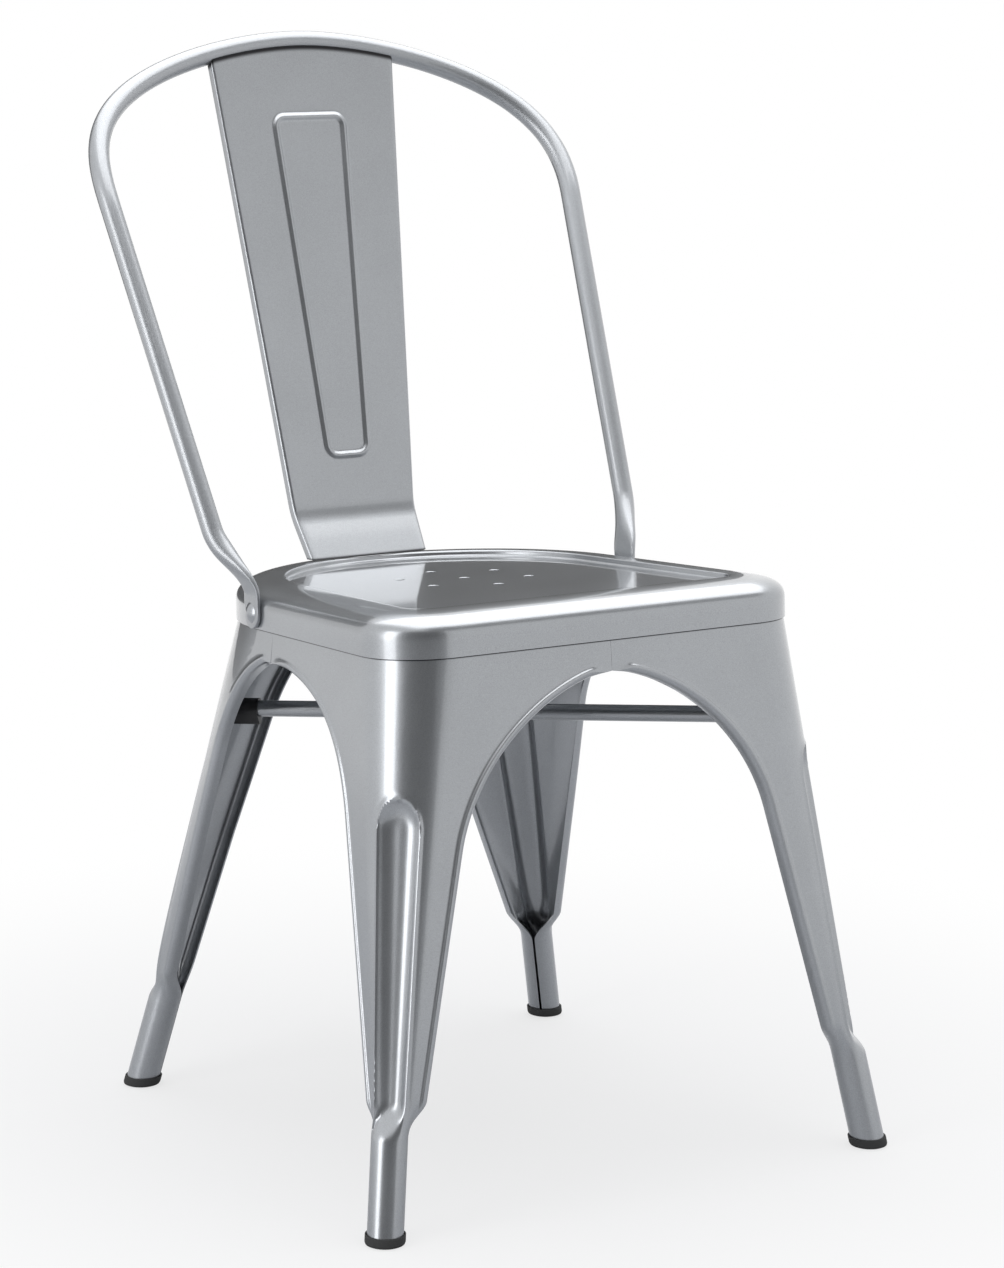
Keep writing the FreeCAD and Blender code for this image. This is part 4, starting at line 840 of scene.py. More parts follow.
class Arch:
    """Half of an arch: a curve from the apex, then a straight edge down to the knee."""

    def __init__(self, offset, height, spread, reach, drop, rise):
        start = v3(SEAM_GAP / 2, ARCH_HEIGHT)
        end = v3(offset, height)
        self.points = (start, start + v3(reach, -drop * reach), end + v3(-spread * rise, rise), end)
        self.end = end
        self.spread = spread

    def at(self, share, knee):
        """Point and direction: on the curve up to 1, then on the straight edge up to 2."""
        if share <= 1:
            return bezier(self.points, share), heading(self.points, share)
        low = v3(self.end.x + self.spread * (self.end.y - knee), knee)
        return self.end.lerp(low, share - 1), (low - self.end).normalized()


# Half width and height where each arch's curve ends, spread of its straight edge, then its handles
FRONT_ARCH = Arch(138.1, 263.7, 0.243, 59.0, 0.12, 64.0)
BACK_ARCH = Arch(79.2, 310.3, 0.374, 38.0, 0.12, 35.0)
SIDE_FRONT_ARCH = Arch(147.0, 284.8, 0.353, 89.0, 0.05, 54.0)
SIDE_BACK_ARCH = Arch(87.3, 304.5, 0.298, 39.0, 0.12, 39.0)


class Leg:
    """One pressed leg in its own quarter: across and outward both count positive."""

    def __init__(self, front):
        shape = bpy.context.scene.chair_shape
        self.sign = -1 if front else 1
        inset = SHEET + SKIRT_GAP
        moved = inset * math.hypot(1, TAPER)
        if front:
            self.top = v3(FRONT_HALF_WIDTH - TAPER * inset - moved, SEAT_FRONT - inset)
            self.top_radius = FRONT_CORNER - inset
            self.knee_radius = FRONT_KNEE_RADIUS
            self.foot = FRONT_FOOT
            self.lean = FRONT_LEAN
            self.face_arch = FRONT_ARCH
            self.side_arch = SIDE_FRONT_ARCH
        else:
            self.top = v3(BACK_HALF_WIDTH + TAPER * inset - moved, SEAT_BACK - inset)
            self.top_radius = BACK_CORNER - inset
            self.knee_radius = REAR_KNEE_RADIUS
            self.foot = REAR_FOOT
            self.lean = REAR_LEAN
            self.face_arch = BACK_ARCH
            self.side_arch = SIDE_BACK_ARCH
        self.taper = self.sign * TAPER
        axis = self.axis(KNEE)
        self.knee_corner = axis + v3(FOOT_RADIUS, FOOT_RADIUS)
        self.knee_height = KNEE + SLOPE * self.sign * axis.y
        self.seam = self.sign * SIDE_SEAM
        self.roll = shape.edge_roll / MM
        self.flange = shape.edge_flange / MM
        self.lift = shape.edge_lift / MM
        self.flute_depth = shape.flute_depth / MM
        self.ridge = shape.flute_ridge / MM
        self.ridge_width = shape.flute_ridge_width / MM

    def axis(self, height):
        """Middle of the foot tube at a height."""
        return self.foot - self.lean * height

    def section(self, level):
        """Corner of the leg's plan and its radius at a sloping level."""
        share = (SKIRT_LINE - level) / (SKIRT_LINE - self.knee_height)
        return self.top.lerp(self.knee_corner, share), mix(self.top_radius, self.knee_radius, share)

    def skin(self, run, level):
        """Point and outward direction at a run from the corner's middle, positive towards the side."""
        corner, radius = self.section(level)
        face = v3(-1, 0)
        flank = v3(self.taper, -1).normalized()
        spread = math.acos(face.dot(flank))
        half = radius * (math.pi - spread) / 2
        ahead = flank if run > 0 else face
        inward = (face + flank).normalized()
        distance = abs(run)
        if distance > half:
            point = corner + ahead * (radius / math.tan(spread / 2) + distance - half)
            outward = v3(-ahead.y, ahead.x)
            return point, (outward * -1 if outward.dot(inward) > 0 else outward)
        centre = corner + inward * (radius / math.sin(spread / 2))
        turn = distance / radius
        sideways = (ahead - inward * inward.dot(ahead)).normalized()
        outward = inward * -math.cos(turn) + sideways * math.sin(turn)
        return centre + outward * radius, outward

    def run_to(self, level, offset, side):
        """Run at which the skin is an offset away from the seam, on the side or on the face."""
        def short_of_it(run):
            point, outward = self.skin(run if side else -run, level)
            return (point.y - self.seam if side else point.x) > offset
        return narrow(0.0, LONGEST_RUN, short_of_it)[0]

    def flute_half(self, height):
        share = min(max((FLUTE_TOP - height) / (FLUTE_TOP - FLUTE_TIP), 0.0), 1.0)
        return mix(FLUTE_TOP_HALF, FLUTE_TIP_HALF, share)

    def flute(self, run, height):
        """How far the flute is pressed in, less the ridge that it raises round its outline."""
        half = self.flute_half(height)
        beyond = max(1 - (FLUTE_TOP - height) / FLUTE_END, 1 - (height - FLUTE_TIP) / FLUTE_END, 0.0)
        reach = math.hypot(run / half, beyond)
        ridge = self.ridge * bump((reach - 1.0) * half / self.ridge_width)
        if reach >= 1:
            return -ridge
        return self.flute_depth * (1 - reach ** FLUTE_STEEPNESS) - ridge

    def edge(self, side, kind, share):
        """Edge point, the direction from it into the sheet, and its roll and step, at one row."""
        arch = self.side_arch if side else self.face_arch
        width = self.roll + HEM_STEP
        first, along = arch.at(0.0, self.knee_height)
        apex_start = first + (v3(-along.y, along.x) + along) * width
        if kind == "seam":
            top = SKIRT_LINE + LEG_LAP
            point = v3(SEAM_GAP / 2, mix(top, ARCH_HEIGHT + SEAM_ROLL, share))
            start = v3(SEAM_GAP / 2 + width, mix(top, apex_start.y, share))
            return point, (start - point) * (1 / width), SEAM_ROLL, 0.0
        point, along = arch.at(share if kind == "arch" else 1 + share, self.knee_height)
        inward = v3(-along.y, along.x)
        opening = 1.0
        if kind == "arch":
            opening = smooth(share / HEM_OPENING)
            gone = (point - arch.points[0]).length / (APEX_FAN * width)
            inward = inward + along * (1 - smooth(gone))
        return point, inward, mix(SEAM_ROLL, self.roll, opening), self.lift * opening

    def hem_places(self, roll, lift):
        """Distance in from the edge and depth under the skin of each column on the hem."""
        places = [(0.0, roll + self.flange * i / FLANGE_COLUMNS) for i in range(FLANGE_COLUMNS, 0, -1)]
        for i in range(ROLL_COLUMNS):
            angle = math.pi / 2 * (1 - i / ROLL_COLUMNS)
            places.append((roll * (1 - math.sin(angle)), (roll + lift) * (1 - math.cos(angle)) - lift))
        for reach in HEM_COLUMNS:
            past = (reach - HEM_FLAT) / (HEM_STEP - HEM_FLAT)
            places.append((mix(roll, self.roll + HEM_STEP, reach / HEM_STEP), -lift * (1 - smooth(past))))
        return places

    def half_row(self, side, kind, share, corner_level):
        """Points from one edge in to the corner's middle, each with its sloping level."""
        point, inward, roll, lift = self.edge(side, kind, share)
        sign = 1 if side else -1
        found = []
        for reach, depth in self.hem_places(roll, lift):
            place = point + inward * reach
            spot, outward = self.skin(sign * self.run_to(place.y, place.x, side), place.y)
            found.append((spot - outward * depth, place.y))
        start = point + inward * (self.roll + HEM_STEP)
        start_run = self.run_to(start.y, start.x, side)
        near = real_height(corner_level, self.sign * self.skin(0.0, corner_level)[0].y)
        flute_run = min(self.flute_half(near) * FLUTE_BORDER, start_run * FLUTE_REACH)
        columns = [mix(start_run, flute_run, i / FACE_COLUMNS) for i in range(1, FACE_COLUMNS)]
        columns.extend(flute_run * column / FLUTE_BORDER for column in FLUTE_COLUMNS)
        for run in columns:
            level = mix(corner_level, start.y, run / start_run)
            spot, outward = self.skin(sign * run, level)
            real = real_height(level, self.sign * spot.y)
            found.append((spot - outward * self.flute(run, real), level))
        return found

    def row(self, kind, share, corner_level):
        """One row over the whole leg, from its side edge to its face edge."""
        joined = self.half_row(True, kind, share, corner_level)
        joined = joined + list(reversed(self.half_row(False, kind, share, corner_level)))[1:]
        places = [(spot.x, self.sign * spot.y, level) for spot, level in joined]
        return [v3(x, y, real_height(level, y)) for x, y, level in places]

    def tube_row(self, height, columns):
        """One row round the foot tube, open at the slit inside."""
        axis = self.axis(height)
        gap = SLIT / 2 / FOOT_RADIUS
        line = []
        for share in columns:
            angle = math.pi / 4 + (math.pi - gap) * share
            across = axis.x + FOOT_RADIUS * math.cos(angle)
            line.append(v3(across, self.sign * (axis.y + FOOT_RADIUS * math.sin(angle)), height))
        return line

    def grid(self):
        """Rows of points over the leg's outer face: seam, arch, straight edge, knee and foot tube."""
        top = SKIRT_LINE + LEG_LAP
        bend = (self.side_arch.end.y + self.face_arch.end.y) / 2
        corner_seam = mix(top, bend, SEAM_SHARE)
        rows = []
        for i in range(SEAM_ROWS + 1):
            rows.append(self.row("seam", i / SEAM_ROWS, mix(top, corner_seam, i / SEAM_ROWS)))
        for i in range(1, ARCH_ROWS + 1):
            share = i / ARCH_ROWS
            share = share * mix(ARCH_CROWDING, 1.0, share)
            rows.append(self.row("arch", share, mix(corner_seam, bend, share)))
        for i in range(1, STRAIGHT_ROWS + 1):
            share = i / STRAIGHT_ROWS
            rows.append(self.row("straight", share, mix(bend, self.knee_height, share)))
        last = rows[-1]
        before = rows[-2]
        lengths = [0.0]
        for first, second in zip(last, last[1:]):
            lengths.append(lengths[-1] + (second - first).length)
        columns = [2 * length / lengths[-1] - 1 for length in lengths]
        for i in range(1, KNEE_ROWS + 1):
            share = i / KNEE_ROWS
            height = mix(KNEE, TUBE_TOP, share)
            line = []
            for target, spot, above in zip(self.tube_row(height, columns), last, before):
                slope = (spot - above) * (1 / max(above.z - spot.z, 0.1))
                carried = spot + slope * (KNEE - height)
                line.append(carried.lerp(target, smooth(share)))
            rows.append(line)
        for i in range(1, TUBE_ROWS + 1):
            rows.append(self.tube_row(mix(TUBE_TOP, CAP_FLOOR + TUBE_GAP, i / TUBE_ROWS), columns))
        if middle_normal(rows).dot(v3(1, self.sign, 0)) < 0:
            rows = [list(reversed(line)) for line in rows]
        return rows


def build_legs():
    for end, front in (("front", True), ("rear", False)):
        right = Leg(front).grid()
        left = [[mirror(point) for point in reversed(line)] for line in right]
        for side, grid in (("left", left), ("right", right)):
            bm = bmesh.new()
            sheet_shell(bm, grid, SHEET)
            leg = finish_mesh(bm, "leg_sheet_%s_%s" % (end, side), SHEET_SHARP)
            # The legs' paint carries a line of painted shade just under the skirt's edge
            paint = silver_paint("silver_lacquer_leg", painted_shade_under_skirt)
            dress(leg, paint, "silver_paint", "leg_%s_%s" % (end, side))


# Back hoop

# The tube runs straight from its bend near the seat to the shoulder, then curves to the middle of the top
SHOULDER = v3(215.3, 217.7, 713.8)
HOOP_TOP = v3(0.0, 308.0, 841.75)
HOOP_DOWN = v3(-0.0984, -0.5035, -1.0).normalized()
HOOP_CORNER = v3(213.5, 297.6, 806.65)
SHOULDER_HANDLE = 61.4
TOP_HANDLE = 85.3
HOOP_CURVE = (SHOULDER, SHOULDER - HOOP_DOWN * SHOULDER_HANDLE, HOOP_CORNER, HOOP_TOP + v3(TOP_HANDLE, 0, 0),
              HOOP_TOP)
BEND_HEIGHT = 478.0
BEND_START = SHOULDER + HOOP_DOWN * ((SHOULDER.z - BEND_HEIGHT) / -HOOP_DOWN.z)
BEND_HANDLE = 20.0
TAB_HANDLE = 16.0
# The tab's section is a rounded oblong, its end nearly a half circle that stops at a small half width
TUBE_SQUARENESS = 2.0
TAB_SQUARENESS = 6.0
TAB_END_REACH = 0.98
TAB_END_HALF = 0.6
# Share of the bend down to which the tube stays round
FLAT_START = 0.2
SECTION_POINTS = 32
TAB_END_STEPS = 8
TAB_STEPS = 5
FLAT_STEPS = 28
STRAIGHT_STEPS = 16
CURVE_STEPS = 64


def side_axes():
    """Rivet's place on the right side of the skirt, and the directions outward, back along it and up it."""
    across = FRONT_HALF_WIDTH - TAPER * (RIVET_ALONG + SEAT_FRONT)
    origin = seat_place(across, RIVET_ALONG / math.cos(TILT), RIVET_UP)
    lean = math.atan(TAPER)
    out = v3(math.cos(lean), math.sin(lean) * math.cos(TILT), -math.sin(lean) * math.sin(TILT))
    back = v3(-math.sin(lean), math.cos(lean) * math.cos(TILT), -math.cos(lean) * math.sin(TILT))
    up = v3(0, math.sin(TILT), math.cos(TILT))
    return origin, out, back, up


def hoop_section(centre, wide, thick, half_width, half_thickness, squareness):
    """Ring of points: a circle when squareness is 2, a rounded oblong when it is larger."""
    ring = []
    power = 2.0 / squareness
    for i in range(SECTION_POINTS):
        angle = math.tau * (i + 0.5) / SECTION_POINTS
        cos = math.cos(angle)
        sin = math.sin(angle)
        across = math.copysign(abs(cos) ** power, cos)
        through = math.copysign(abs(sin) ** power, sin)
        ring.append(centre + wide * (half_width * across) + thick * (half_thickness * through))
    return ring


def tube_section(centre, direction, back, half_width, half_thickness, squareness):
    """Section square to the direction in which the tube runs, its width as near to back as it can be."""
    wide = (back - direction * back.dot(direction)).normalized()
    thick = direction.cross(wide).normalized()
    return hoop_section(centre, wide, thick, half_width, half_thickness, squareness)


def hoop_rings():
    """Sections of the hoop's right half, from the end of its tab to the middle of its top."""
    origin, out, back, up = side_axes()
    half_thickness = TAB_THICKNESS / 2
    middle = origin + out * half_thickness
    tab_top = middle + up * (TAB_TOP - RIVET_UP)
    rings = []
    for i in range(TAB_END_STEPS + 1):
        drop = -TAB_HALF * math.cos(math.pi / 2 * i / TAB_END_STEPS * TAB_END_REACH)
        half = max(math.sqrt(max(TAB_HALF ** 2 - drop ** 2, 0.0)), TAB_END_HALF)
        rings.append(hoop_section(middle + up * drop, back, out * -1, half, half_thickness, TAB_SQUARENESS))
    for i in range(TAB_STEPS):
        centre = middle + up * ((TAB_TOP - RIVET_UP) * i / TAB_STEPS)
        rings.append(hoop_section(centre, back, out * -1, TAB_HALF, half_thickness, TAB_SQUARENESS))
    bend = (BEND_START, BEND_START + HOOP_DOWN * BEND_HANDLE, tab_top + up * TAB_HANDLE, tab_top)
    for i in range(FLAT_STEPS, 0, -1):
        share = i / FLAT_STEPS
        flat = smooth((share - FLAT_START) / (1 - FLAT_START))
        rings.append(tube_section(bezier(bend, share), heading(bend, share) * -1, back,
                                  mix(HOOP_RADIUS, TAB_HALF, flat), mix(HOOP_RADIUS, half_thickness, flat),
                                  mix(TUBE_SQUARENESS, TAB_SQUARENESS, flat ** 3)))
    path = [BEND_START.lerp(SHOULDER, i / STRAIGHT_STEPS) for i in range(STRAIGHT_STEPS + 1)]
    path.extend(bezier(HOOP_CURVE, i / CURVE_STEPS) for i in range(1, CURVE_STEPS + 1))
    for i, point in enumerate(path):
        before = path[max(i - 1, 0)]
        after = path[i + 1] if i + 1 < len(path) else mirror(path[i - 1])
        direction = (after - before).normalized()
        rings.append(tube_section(point, direction, back, HOOP_RADIUS, HOOP_RADIUS, TUBE_SQUARENESS))
    return rings


def build_hoop():
    rings = hoop_rings()
    bm = bmesh.new()
    right = add_points(bm, rings[:-1])
    middle = add_points(bm, rings[-1:])[0]
    left = add_points(bm, [[mirror(point) for point in ring] for ring in rings[:-1]])
    for verts in (right, left):
        for first, second in zip(verts, verts[1:]):
            join_rings(bm, first, second)
        bm.faces.new(verts[0])
    opposite = []
    for point in middle:
        there = mirror(point.co)
        opposite.append(min(middle, key=lambda other: (other.co - there).length))
    join_rings(bm, right[-1], middle)
    join_rings(bm, left[-1], opposite)
    hoop = finish_mesh(bm, "hoop_tube", HOOP_SHARP)
    dress(hoop, silver_paint("silver_lacquer_tube", None, HOOP_DULLNESS), "silver_paint", "back_hoop")


# Back splat

# Stops of (share, steps to the next): across half the width beyond the fold, and up from the foot to the top
SPLAT_COLUMNS = ((1 - SPLAT_FOLD_RADIUS / SPLAT_FOOT_HALF, 8), (0.47, 22), (0.23, 6), (0.0, 1))
SPLAT_ROWS = ((0.0, 3), (0.006, 16), (0.13, 5), (0.165, 26), (0.225, 34), (0.845, 26), (0.905, 6), (0.98, 5),
              (0.992, 4), (1.0, 1))
FOLD_COLUMNS = 7
# Shares of the height over which painted shade darkens the splat at its foot, and at its top against the hoop
FOOT_PAINTED_SHADE = 0.005
TOP_PAINTED_SHADE = 0.988
TOP_PAINTED_SHADE_RUN = 0.008


def hoop_at(across):
    """Middle of the hoop's tube at a distance across."""
    low, high = narrow(0.0, 1.0, lambda share: bezier(HOOP_CURVE, share).x > across, 36)
    return bezier(HOOP_CURVE, low)


class SplatLine:
    """Side view of the splat at one distance across: foot, bend and the straight up to the hoop."""

    def __init__(self, across):
        self.axis = hoop_at(across)
        clear = HOOP_RADIUS + SPLAT_GAP
        drop = math.sqrt(clear * clear - SPLAT_SETBACK ** 2)
        self.foot = v3(0, SPLAT_FOOT_BACK, self.crest(SPLAT_FOOT_BACK))
        self.bend = v3(0, SPLAT_BEND_BACK, SPLAT_BEND_HEIGHT)
        self.top = v3(0, self.axis.y - SPLAT_SETBACK, self.axis.z - drop)
        self.low = (self.bend - self.foot).normalized()
        self.high = (self.top - self.bend).normalized()
        turn = math.acos(self.low.dot(self.high))
        reach = SPLAT_BEND_RADIUS * math.tan(turn / 2)
        self.low_length = (self.bend - self.foot).length - reach
        self.arc_length = SPLAT_BEND_RADIUS * turn
        self.length = self.low_length + self.arc_length + (self.top - self.bend).length - reach

    def crest(self, along):
        """Height just clear of the seat's rim at a distance back."""
        return real_height(SKIRT_LINE + SKIRT_HEIGHT, along) + SPLAT_GAP

    def at(self, run, depth):
        """Point at a run up from the foot and a depth behind the front face."""
        if run < self.low_length:
            direction = self.low
            point = self.foot + direction * run
        elif run < self.low_length + self.arc_length:
            angle = math.atan2(self.low.z, self.low.y) + (run - self.low_length) / SPLAT_BEND_RADIUS
            direction = v3(0, math.cos(angle), math.sin(angle))
            start = self.foot + self.low * self.low_length
            centre = start + v3(0, -self.low.z, self.low.y) * SPLAT_BEND_RADIUS
            point = centre + v3(0, math.sin(angle), -math.cos(angle)) * SPLAT_BEND_RADIUS
        else:
            direction = self.high
            point = self.top - direction * (self.length - run)
        return point + v3(0, direction.z, -direction.y) * depth

    def lowest_run(self, depth):
        """Run at which a depth of the sheet comes clear of the seat's rim."""
        def under_the_rim(run):
            point = self.at(run, depth)
            return point.z < self.crest(point.y)
        return narrow(0.0, self.length / 2, under_the_rim)[1]

    def highest_run(self, depth):
        """Run at which a depth of the sheet meets the gap round the hoop."""
        clear = HOOP_RADIUS + SPLAT_GAP

        def short_of_the_hoop(run):
            point = self.at(run, depth)
            return math.hypot(point.y - self.axis.y, point.z - self.axis.z) > clear and run < self.length + 1
        return min(narrow(self.length / 2, self.length + clear, short_of_the_hoop)[0], self.length)


def bead_height(across, height, shape):
    """Raised line round the splat's middle, at a distance across and a height above the floor."""
    share = (height - BEAD_BOTTOM) / (BEAD_TOP - BEAD_BOTTOM)
    side = mix(BEAD_BOTTOM_HALF, BEAD_TOP_HALF, share) - abs(across)
    ends = min(BEAD_TOP - height, height - BEAD_BOTTOM)
    if side < BEAD_CORNER and ends < BEAD_CORNER:
        distance = BEAD_CORNER - math.hypot(BEAD_CORNER - side, BEAD_CORNER - ends)
    else:
        distance = min(side, ends)
    return shape.bead_height / MM * bump(distance / (shape.bead_width / MM / 2 * BEAD_SPREAD))


def spread_out(stops):
    """Numbers from stops of (value, steps to the next value)."""
    numbers = []
    for (first, steps), (last, unused) in zip(stops, stops[1:]):
        numbers.extend(mix(first, last, i / steps) for i in range(steps))
    numbers.append(stops[-1][0])
    return numbers


def splat_columns():
    """Columns from the side edge to the middle, each an inset from the edge or a share of the half width."""
    fold = SPLAT_FOLD_RADIUS
    columns = [(0.0, None, fold + SPLAT_FOLD), (0.0, None, fold + SPLAT_FOLD / 2)]
    for i in range(FOLD_COLUMNS):
        angle = math.pi / 2 * (1 - i / FOLD_COLUMNS)
        columns.append((fold * (1 - math.sin(angle)), None, fold * (1 - math.cos(angle))))
    columns.extend((None, share, 0.0) for share in spread_out(SPLAT_COLUMNS))
    return columns


def splat_grid(shape):
    """Rows of points over the splat's front face, and the painted shade of each point."""
    columns = splat_columns()
    lines = []
    for inset, share, depth in columns:
        across = SPLAT_TOP_HALF - inset if share is None else SPLAT_TOP_HALF * share
        lines.append(SplatLine(max(across, 0.0)))
    runs = spread_out(SPLAT_ROWS)
    rows = []
    for run_share in runs:
        half_line = []
        for (inset, share, depth), line in zip(columns, lines):
            run = mix(line.lowest_run(depth + SHEET), line.highest_run(depth), run_share)
            point = line.at(run, depth)
            level = (point.z - line.foot.z) / (line.top.z - line.foot.z)
            half = mix(SPLAT_FOOT_HALF, SPLAT_TOP_HALF, level)
            across = half - inset if share is None else half * share
            if share is not None:
                point = line.at(run, depth - bead_height(across, point.z, shape))
            half_line.append(v3(across, point.y, point.z))
        rows.append(half_line + [mirror(point) for point in reversed(half_line[:-1])])
    if middle_normal(rows).y > 0:
        rows = [list(reversed(line)) for line in rows]
    painted_shades = []
    for run_share in runs:
        dark = max(smooth((run_share - TOP_PAINTED_SHADE) / TOP_PAINTED_SHADE_RUN), 1 - smooth(run_share / FOOT_PAINTED_SHADE))
        painted_shades.extend([dark] * len(rows[0]))
    return rows, painted_shades


def build_splat():
    bm = bmesh.new()
    grid, painted_shades = splat_grid(bpy.context.scene.chair_shape)
    sheet_shell(bm, grid, SHEET)
    splat = finish_mesh(bm, "splat_sheet", SHEET_SHARP)
    # Painted shade: the crevice attribute darkens the splat at its foot and at its top under the hoop
    attribute = splat.data.attributes.new("crevice", "FLOAT", "POINT")
    attribute.data.foreach_set("value", painted_shades * 2)
    dress(splat, silver_paint("silver_lacquer_splat", painted_crevice_mask), "silver_paint", "back_splat")


# Brace and bumpers

def clean_copy(node, name):
    """The solid's mesh with its doubled points merged and its corners kept."""
    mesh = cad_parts[node].data.copy()
    mesh.name = name
    bm = bmesh.new()
    bm.from_mesh(mesh)
    bmesh.ops.remove_doubles(bm, verts=bm.verts, dist=MERGE_SOLID)
    bmesh.ops.dissolve_limit(bm, angle_limit=math.radians(1.0), verts=bm.verts, edges=bm.edges)
    bm.to_mesh(mesh)
    bm.free()
    if mesh.attributes.get("custom_normal"):
        mesh.attributes.remove(mesh.attributes["custom_normal"])
    shade(mesh, PART_SHARP)
    return link(name, mesh)


def build_brace():
    """Two tubes that cross under the seat, from corner to corner, with a plastic bumper at each end."""
    turn = math.radians(BRACE_TURN)
    lines = []
    for number, node in enumerate(("brace_main", "brace_cross")):
        side = 1 if number else -1
        direction = v3(side * math.cos(turn), math.sin(turn), -SLOPE * math.sin(turn)).normalized()
        drop = number * (2 * BRACE_RADIUS + BRACE_GAP)
        middle = v3(0, BRACE_CENTRE, real_height(BRACE_HEIGHT, BRACE_CENTRE) - drop)
        low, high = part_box(node)
        for end in (low[0], high[0]):
            across = abs(end / MM) - BRACE_RADIUS * math.sin(turn)
            lines.append(middle + direction * (math.copysign(across, end) / direction.x))
    mesh = bpy.data.meshes.new("brace_tubes")
    mesh.from_pydata([to_frame(point) for point in lines], [(0, 1), (2, 3)], [])
    values = {"Radius": BRACE_RADIUS * MM, "Segments": TURNED_SEGMENTS, "Finish": silver_paint()}
    tubes = run_tree("brace_tubes", mesh, rod_tree(), values)
    dress(tubes, silver_paint(), "silver_paint", "brace_main", "brace_cross")
    for end in ("front", "rear"):
        for side in ("left", "right"):
            node = "brace_cap_%s_%s" % (end, side)
            dress(clean_copy(node, "bumper_%s_%s" % (end, side)), black_plastic(), "black_plastic", node)


# Foot caps and rivets

RIVET_STEPS = 10


def build_caps():
    """Rubber caps: open cups that lean with the foot tubes."""
    inner = FOOT_RADIUS + CAP_CLEARANCE
    outer = inner + CAP_WALL
    nick = CAP_ROUND * (1 - math.sqrt(0.5))
    outline = ((0.0, 0.0), (outer - CAP_ROUND, 0.0), (outer - nick, nick), (outer, CAP_ROUND),
               (outer, CAP_HEIGHT), (inner, CAP_HEIGHT), (inner, CAP_FLOOR), (0.0, CAP_FLOOR))
    places = []
    nodes = []
    for end, front in (("front", True), ("rear", False)):
        leg = Leg(front)
        for side, sign in (("left", -1), ("right", 1)):
            place = v3(sign * leg.foot.x, leg.sign * leg.foot.y)
            lean = v3(-sign * leg.lean.x, -leg.sign * leg.lean.y)
            places.append((place, v3(0, 0, 0), lean))
            nodes.append("foot_cap_%s_%s" % (end, side))
    caps = turned("foot_caps", outline, places, black_rubber(), edge=CAP_EDGE)
    dress(caps, black_rubber(), "black_rubber", *nodes)


def build_rivets():
    """Domed rivets through the hoop's tabs, and the washers behind them."""
    origin, out, back, up = side_axes()
    places = []
    for place, axis in ((mirror(origin), mirror(out)), (origin, out)):
        turn = axis.to_track_quat("Z", "Y").to_euler()
        places.append((place, v3(turn.x, turn.y, turn.z), v3(0, 0, 0)))
    stack = SHEET + WASHER_GAP + WASHER_THICKNESS
    ball = (RIVET_HEAD ** 2 + RIVET_DOME ** 2) / (2 * RIVET_DOME)
    tail = -stack - RIVET_TAIL_HEIGHT
    outline = [(0.0, tail), (RIVET_TAIL, tail), (RIVET_TAIL, -stack), (RIVET_SHANK, -stack),
               (RIVET_SHANK, TAB_THICKNESS)]
    for i in range(RIVET_STEPS, -1, -1):
        angle = math.asin(RIVET_HEAD / ball) * i / RIVET_STEPS
        outline.append((ball * math.sin(angle), TAB_THICKNESS + RIVET_DOME - ball + ball * math.cos(angle)))
    rivets = turned("rivets", outline, places, silver_paint())
    dress(rivets, silver_paint(), "silver_paint", "hoop_rivet_left", "hoop_rivet_right")
    bore = RIVET_SHANK + RIVET_CLEARANCE
    ring = ((bore, -stack), (WASHER_RADIUS, -stack), (WASHER_RADIUS, WASHER_THICKNESS - stack),
            (bore, WASHER_THICKNESS - stack))
    washers = turned("washers", ring, places, silver_paint(), edge=WASHER_EDGE, closed=True)
    dress(washers, silver_paint(), "silver_paint", "rivet_washer_left", "rivet_washer_right")


# Stage, in metres

# Camera solved from the photograph: place, angles in radians, focal length and picture height in pixels
CAMERA_PLACE = (-1.591556, -2.572494, 0.975255)
CAMERA_YAW = 0.565016
CAMERA_PITCH = -0.192116
CAMERA_ROLL = 0.008965
FOCAL_PIXELS = 3883.247
PICTURE_PIXELS = 1268
SENSOR_MM = 36.0

# Lamps: name of their power setting, place, width and height
LAMP_TARGET = (0.0, 0.0, 0.45)
LAMPS = (
    ("overhead", (0.2, -0.1, 2.6), 2.4, 2.4),
    ("left_window", (-2.57, -0.36, 1.2), 1.2, 2.2),
    ("right_window", (2.4, -1.6, 1.4), 1.2, 2.0),
)

# Cards that only the paint reflects: place, what they face, width, height and strength
CARDS = (
    ("top_card", (0.7, 0.6, 2.4), (0.7, 0.61, 0.0), 3.0, 3.2, 2.8),
    ("front_ceiling", (0.9, -1.98, 2.4), (0.9, -1.97, 0.0), 3.2, 1.7, 0.30),
    ("left_card", (-2.57, -0.36, 1.0), (0.0, 0.0, 0.7), 1.0, 2.0, 4.0),
    ("back_card", (0.65, 3.2, 1.1), (0.65, 0.0, 1.1), 3.9, 2.3, 0.10),
    ("front_card", (-1.08, -2.12, 1.2), (0.05, -0.47, 1.2), 4.0, 2.4, 0.15),
)
CARD_CORNERS = ((-1, -1), (1, -1), (1, 1), (-1, 1))

SKY = (0.93, 0.96, 1.0, 1)
WHITE = (1, 1, 1, 1)

# The floor's rings, its drop below the feet, and how its own white glow fades in round the chair
FLOOR_RADII = (0.4, 0.8, 1.4, 2.4, 4.0, 7.0, 12.0)
FLOOR_SEGMENTS = 64
FLOOR_DROP = 0.0005
SEEN_BAND = (0.2, 0.9)
SEEN_NEAR = 0.7
SEEN_RISE = 0.3
MIRRORED_BAND = (1.0, 2.4)


def look_along(direction, roll=0.0):
    """Rotation of a camera or lamp that points along a direction."""
    forward = direction.normalized()
    right = forward.cross(Vector((0, 0, 1))).normalized()
    up = right.cross(forward)
    turned_right = right * math.cos(roll) + up * math.sin(roll)
    turned_up = up * math.cos(roll) - right * math.sin(roll)
    return Matrix((turned_right, turned_up, -forward)).transposed().to_4x4()


def facing(place, target):
    return Matrix.Translation(place) @ look_along(Vector(target) - Vector(place))


